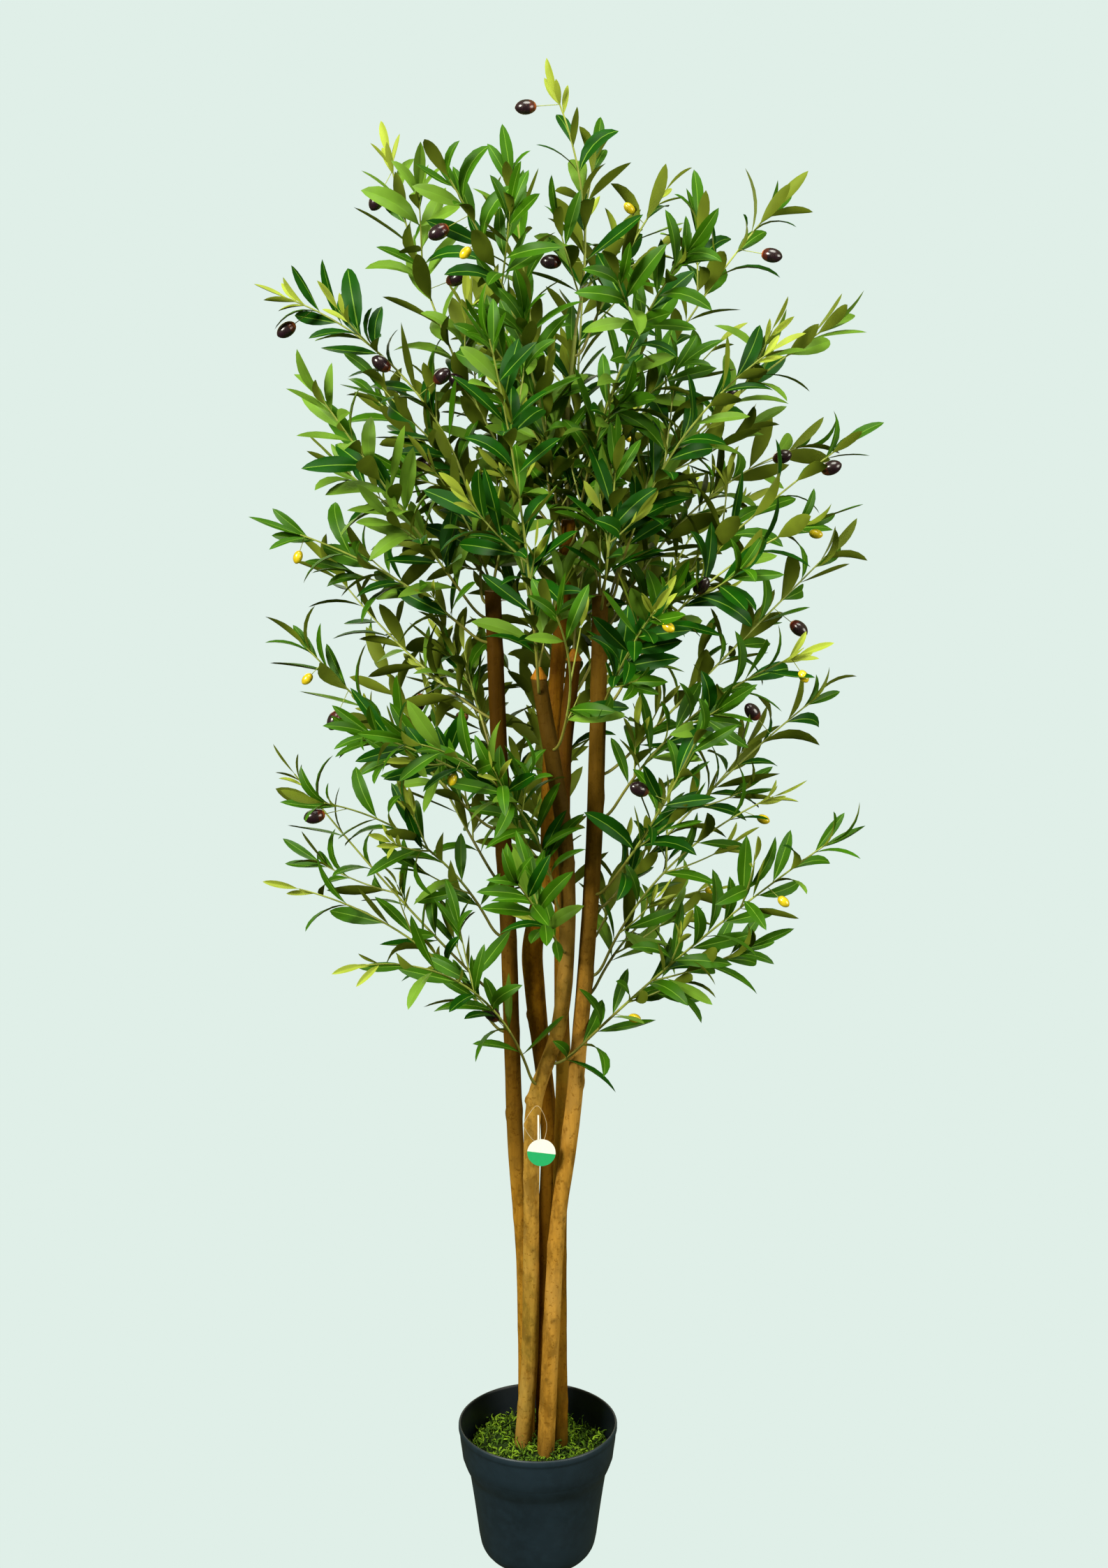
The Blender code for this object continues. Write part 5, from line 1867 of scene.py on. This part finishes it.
class OLIVETREE_OT_stems(bpy.types.Operator):
    """Make the stems, twigs, side shoots and olive wires of every spray"""

    bl_idname = "olive_tree.stems"
    bl_label = "Stems"

    def execute(self, context):
        leaves = context.scene.olive_tree_leaves
        shoots, _, fruit = grow_crown()
        tree = tube_tree()
        finishes = {"Old stem": stem_finish("old stem", leaves.old_stem),
                    "Young stem": stem_finish("young stem", leaves.stem)}
        for group in GROUPS:
            chains = [(s.line, s.radii, (s.age, 1.0)) for s in shoots
                      if s.group == group]
            if group == "top":
                leader = leader_line(LEADER_RINGS * 2)
                chains.append((leader, LEADER_RADIUS, LEADER_AGES))
            chains += [([olive.root, olive.place], (WIRE_RADIUS, WIRE_RADIUS), WIRE_AGES)
                       for olive in fruit if olive.group == group]
            mesh = run_tree(group + "_stems", chain_mesh(group, chains), tree, {
                "Sides": STEM_SIDES, "Young from": OLD_UNTIL, **finishes})
            smooth(mesh, sharp=60)
            nodes = ["leader_bough"] if group == "top" else []
            new_piece(group + "_stems", mesh, nodes + nodes_of(group))
        return {"FINISHED"}


def leaf_finish(name, colour, roughness):
    """Satin cloth with faint patches."""
    return patched_finish(name, colour, roughness, (26, 2, 0.35, 0.7), (0.82, 1.18),
                          Specular_IOR_Level=0.12)


class OLIVETREE_OT_leaves(bpy.types.Operator):
    """Deal out the leaves of every spray"""

    bl_idname = "olive_tree.leaves"
    bl_label = "Leaves"

    def execute(self, context):
        leaves = context.scene.olive_tree_leaves
        _, found, _ = grow_crown()
        finishes = {
            "Deep": leaf_finish("deep leaf", leaves.deep, 0.46),
            "Mid": leaf_finish("mid leaf", leaves.mid, 0.46),
            "Fresh": leaf_finish("fresh leaf", leaves.fresh, 0.48),
            "Young": leaf_finish("young leaf", leaves.young, 0.5),
            "Rib": leaf_finish("midrib", leaves.rib, 0.5),
            "Under": leaf_finish("leaf underside", leaves.under, 0.6),
        }
        tree = dealer("Leaves", LEAF_LABELS)
        shapes = shape_collection("leaf shapes", [
            leaf_mesh(f"leaf_{n:02d}", shape) for n, shape in enumerate(SHAPES)])
        for group in GROUPS:
            own = [leaf for leaf in found if leaf.group == group]
            points = point_mesh(
                group, [leaf.place for leaf in own], [leaf.turn for leaf in own],
                [(leaf.length, leaf.width, leaf.length) for leaf in own],
                [leaf.shape for leaf in own], [leaf.tone for leaf in own])
            mesh = run_tree(group + "_leaves", points, tree, {"Shapes": shapes, **finishes})
            new_piece(group + "_leaves", mesh, nodes_of(group))
        remove_shapes(shapes)
        return {"FINISHED"}


# Olives

OLIVE_ROWS = 10
OLIVE_SIDES = 12
OLIVE_BANDS = (0.12, 0.34)  # where the stem end's two bands stop
OLIVE_LABELS = (("Dark", "Turning", "Blush"), ("Yellow", "Yellow", "Amber"))
OLIVE_ENDS = (0.04, 0.93)  # of half a turn: where its outline starts, and how far it goes
OLIVE_FULLNESS = 0.92
OLIVE_TIP = (0.03, 0.85)  # how far the tip stands out, and the share where it starts
FRECKLE = (0.5, 0.35, 0.2)


def olive_mesh(name):
    """An olive one long and one wide, along +X from its stem end, with a small tip."""
    bm = bmesh.new()
    part = bm.faces.layers.int.new("part")
    rings = []
    for row in range(OLIVE_ROWS + 1):
        share = row / OLIVE_ROWS
        angle = math.pi * (OLIVE_ENDS[0] + OLIVE_ENDS[1] * share)
        radius = 0.5 * math.sin(angle) ** OLIVE_FULLNESS
        tip = OLIVE_TIP[0] * max(0.0, share - OLIVE_TIP[1]) / (1 - OLIVE_TIP[1])
        x = 0.5 - 0.5 * math.cos(angle) + tip
        rings.append([bm.verts.new((x, radius * c, radius * s))
                      for c, s in circle(OLIVE_SIDES)])
    bridge_rings(bm, rings)
    close_ends(bm, rings)
    for face in bm.faces:
        middle = face.calc_center_median().x
        face[part] = sum(middle < limit for limit in OLIVE_BANDS)
    mesh = mesh_from(name, bm, outward=True)
    mesh.shade_smooth()
    return mesh


def olive_finish(name, colour):
    """Glossy skin with faint freckles."""
    finish = Finish(name, colour, 0.24, Specular_IOR_Level=0.55, Coat_Weight=0.3,
                    Coat_Roughness=0.12)
    place = finish.place()
    patch = finish.spots(place, 120, 2, 0.35, 0.7)
    skin = finish.mix(patch, shade(colour, 0.75), shade(colour, 1.3))
    freckle = finish.spots(place, 900, 2, 0.62, 0.75)
    finish.set("Base Color", finish.mix(freckle, skin, FRECKLE, 0.12))
    return finish.material


class OLIVETREE_OT_olives(bpy.types.Operator):
    """Hang the olives on their wires"""

    bl_idname = "olive_tree.olives"
    bl_label = "Olives"

    def execute(self, context):
        olives = context.scene.olive_tree_olives
        _, _, fruit = grow_crown()
        finishes = {
            "Dark": olive_finish("ripe olive", olives.dark),
            "Turning": olive_finish("turning olive", olives.turning),
            "Blush": olive_finish("blushed olive", olives.blush),
            "Yellow": olive_finish("yellow olive", olives.yellow),
            "Amber": olive_finish("amber olive", shade(olives.yellow, 0.72)),
        }
        tree = dealer("Olives", OLIVE_LABELS)
        shapes = shape_collection("olive shapes", [olive_mesh("olive")])
        for ripe, name, slot in ((True, "dark_olives", "olive_dark"),
                                 (False, "yellow_olives", "olive_yellow")):
            own = [olive for olive in fruit if olive.ripe == ripe]
            sides = [o.way.orthogonal().normalized() for o in own]
            turns = [Matrix((o.way, side, o.way.cross(side))).transposed()
                     for o, side in zip(own, sides)]
            points = point_mesh(
                name, [o.place for o in own], turns,
                [(olives.length * o.size, olives.width * o.size, olives.width * o.size)
                 for o in own], [0] * len(own), [0 if ripe else 1] * len(own))
            mesh = run_tree(name, points, tree, {"Shapes": shapes, **finishes})
            new_piece(name, mesh)
        remove_shapes(shapes)
        return {"FINISHED"}


# Hang tag

TAG_SIDES = 48
THREAD_RADIUS = 0.00032
THREAD_SIDES = 6
THREAD_COLOUR = (0.52, 0.42, 0.26)
LOOP_STEPS = 8  # between two of its places
# Places on the loop from the tag's middle: across, towards the back, and up
LOOP = ((-0.0069, 0.0025, 0.0570), (0.0013, 0.0, 0.0513), (0.0063, -0.001, 0.0339),
        (0.0022, 0.0008, 0.0150), (-0.0088, 0.0008, 0.0150), (-0.0184, -0.001, 0.0287),
        (-0.0200, -0.001, 0.0383))
STRAP = (0.0020, 0.0003, 0.0310)  # size of the white strip inside the loop
STRAP_PLACE = (-0.0036, -0.0008, 0.0318)


def tag_mesh(tag):
    """A thin disc, white above and green below."""
    bm = bmesh.new()
    for upper in (True, False):
        start = 0.0 if upper else math.pi
        outline = []
        for i in range(TAG_SIDES // 2 + 1):
            angle = start + math.pi * i / (TAG_SIDES // 2)
            outline.append((tag.radius * math.cos(angle), tag.radius * math.sin(angle)))
        front = [bm.verts.new((x, -tag.thickness / 2, z)) for x, z in outline]
        back = [bm.verts.new((x, tag.thickness / 2, z)) for x, z in outline]
        faces = [bm.faces.new(front), bm.faces.new(back[::-1])]
        for i in range(len(outline) - 1):
            faces.append(bm.faces.new((front[i], back[i], back[i + 1], front[i + 1])))
        for face in faces:
            face.material_index = 0 if upper else 1
    bmesh.ops.remove_doubles(bm, verts=bm.verts, dist=1e-6)
    turn = Matrix.Rotation(tag.tilt, 4, "Y")
    bm.transform(Matrix.Translation(tag.place) @ turn)
    return mesh_from("hang_tag", bm, outward=True)


def card_finish(name, colour):
    return patched_finish(name, colour, 0.55, (500, 4, 0.3, 0.7), (0.94, 1.04),
                          (1800, 2, 0.00004, 0.4))


class OLIVETREE_OT_tag(bpy.types.Operator):
    """Hang the blank tag on its thin loop"""

    bl_idname = "olive_tree.tag"
    bl_label = "Tag"

    def execute(self, context):
        tag = context.scene.olive_tree_tag
        mesh = tag_mesh(tag)
        mesh.materials.append(card_finish("white card", tag.white))
        mesh.materials.append(card_finish("green card", tag.green))
        new_piece("hang_tag", mesh)
        middle = Vector(tag.place)
        strap = bmesh.new()
        bmesh.ops.create_cube(strap, size=1.0)
        strap.transform(Matrix.Translation(middle + Vector(STRAP_PLACE))
                        @ Matrix.Diagonal((*STRAP, 1)))
        strip = mesh_from("tag_strap", strap)
        strip.materials.append(mesh.materials[0])
        new_piece("tag_strap", strip)
        points = [middle + Vector(place) for place in LOOP]
        ring = curve_through(points[-1:] + points + points[:2], LOOP_STEPS)
        tube = closed_tube(ring, THREAD_RADIUS, THREAD_SIDES)
        thread = mesh_from("tag_loop", tube, outward=True)
        thread.shade_smooth()
        thread.materials.append(stem_finish("tag loop", THREAD_COLOUR))
        new_piece("tag_loop", thread)
        return {"FINISHED"}


# Stage

# Where each light stands, its width, its share of the main light's power, and its colour
LIGHTS = {
    "key": ((-2.2, -2.4, 2.9), 1.2, 1.0, (1.0, 0.96, 0.84)),
    "fill": ((2.6, -1.6, 1.7), 1.8, 0.36, (1.0, 0.97, 0.86)),
    "top": ((0.4, -0.9, 4.0), 1.8, 0.42, (1.0, 0.98, 0.88)),
    "back": ((-0.8, 2.8, 2.2), 2.0, 0.12, (1.0, 0.97, 0.80)),
}
LIGHT_TARGET = (0, 0, 0.95)
SKY_COLOUR = (0.94, 1.0, 0.38)
SKY_HEIGHTS = (-0.6, 0.9)  # of the way up or down, between which the sky brightens
SKY_LEVELS = (0.18, 1.0)
SENSOR_WIDTH = 36
BACKDROP_RADIUS = 14.0


def area_light(name, place, size, power, colour):
    """A soft light that looks at the crown's middle."""
    data = bpy.data.lights.new(name, "AREA")
    data.shape = "DISK"
    data.size = size
    data.energy = power
    data.color = colour
    lamp = add_object(name, data)
    lamp.location = place
    away = Vector(place) - Vector(LIGHT_TARGET)
    lamp.rotation_euler = away.to_track_quat("Z", "Y").to_euler()


def flat_material(colour):
    """One even tone, as a cut-out picture has behind the object."""
    finish = Finish("pale surroundings", colour, 1.0)
    glow = finish.out("ShaderNodeEmission", "Emission", {"Color": (*colour, 1),
                                                         "Strength": 1.0})
    finish.feed(finish.nodes["Material Output"].inputs["Surface"], glow)
    return finish.material


def sky(colour, strength):
    """Light from all round that is strong above and weak below."""
    world = bpy.data.worlds.new("surroundings")
    world.use_nodes = True
    tree = Nodes(world.node_tree)
    way = tree.out("ShaderNodeTexCoord", "Generated")
    height = tree.out("ShaderNodeSeparateXYZ", "Z", {"Vector": way})
    level = tree.band(height, *SKY_HEIGHTS, *SKY_LEVELS)
    light = tree.nodes["Background"]
    tree.feed(light.inputs["Color"], (*colour, 1))
    tree.feed(light.inputs["Strength"], tree.math("MULTIPLY", level, strength))
    return world


class OLIVETREE_OT_stage(bpy.types.Operator):
    """Set the pale surroundings, the soft lights and the camera"""

    bl_idname = "olive_tree.stage"
    bl_label = "Stage"

    def execute(self, context):
        stage = context.scene.olive_tree_stage
        bm = bmesh.new()
        bmesh.ops.create_uvsphere(bm, u_segments=48, v_segments=24,
                                  radius=BACKDROP_RADIUS)
        bmesh.ops.reverse_faces(bm, faces=bm.faces)
        backdrop = add_object("backdrop", mesh_from("backdrop", bm))
        backdrop.data.materials.append(flat_material(stage.background))
        for kind in ("diffuse", "glossy", "transmission", "volume_scatter", "shadow"):
            setattr(backdrop, "visible_" + kind, False)
        context.scene.world = sky(SKY_COLOUR, stage.sky)
        for name, (place, size, share, colour) in LIGHTS.items():
            area_light(name, place, size, stage.key * share, colour)
        camera = add_object("camera", bpy.data.cameras.new("camera"))
        camera.location = stage.camera
        camera.rotation_euler = (math.pi / 2 - stage.pitch, 0, 0)
        camera.data.lens = stage.lens
        camera.data.sensor_width = SENSOR_WIDTH
        context.scene.camera = camera
        context.scene.view_settings.view_transform = "Standard"
        return {"FINISHED"}


class OLIVETREE_PT_panel(bpy.types.Panel):
    """Lists the pieces of the olive tree"""

    bl_label = "Olive Tree"
    bl_idname = "OLIVETREE_PT_panel"
    bl_space_type = "VIEW_3D"
    bl_region_type = "UI"
    bl_category = "Olive Tree"

    def draw(self, context):
        for operator in OPERATORS:
            self.layout.operator(operator.bl_idname)
        for key in SETTINGS:
            settings = getattr(context.scene, key)
            box = self.layout.box()
            for name in settings.__annotations__:
                box.prop(settings, name)


OPERATORS = (OLIVETREE_OT_stage, OLIVETREE_OT_pot, OLIVETREE_OT_moss, OLIVETREE_OT_poles,
             OLIVETREE_OT_stems, OLIVETREE_OT_leaves, OLIVETREE_OT_olives,
             OLIVETREE_OT_tag)


def register():
    for group in SETTINGS.values():
        bpy.utils.register_class(group)
    for key, group in SETTINGS.items():
        setattr(bpy.types.Scene, key, PointerProperty(type=group))
    for kind in OPERATORS + (OLIVETREE_PT_panel,):
        bpy.utils.register_class(kind)


def unregister():
    for kind in reversed(OPERATORS + (OLIVETREE_PT_panel,)):
        bpy.utils.unregister_class(kind)
    for key in SETTINGS:
        delattr(bpy.types.Scene, key)
    for group in reversed(SETTINGS.values()):
        bpy.utils.unregister_class(group)


def main():
    register()
    for operator in OPERATORS:
        step = operator.bl_idname.split(".")[1]
        getattr(bpy.ops.olive_tree, step)()


if __name__ == "__main__":
    main()
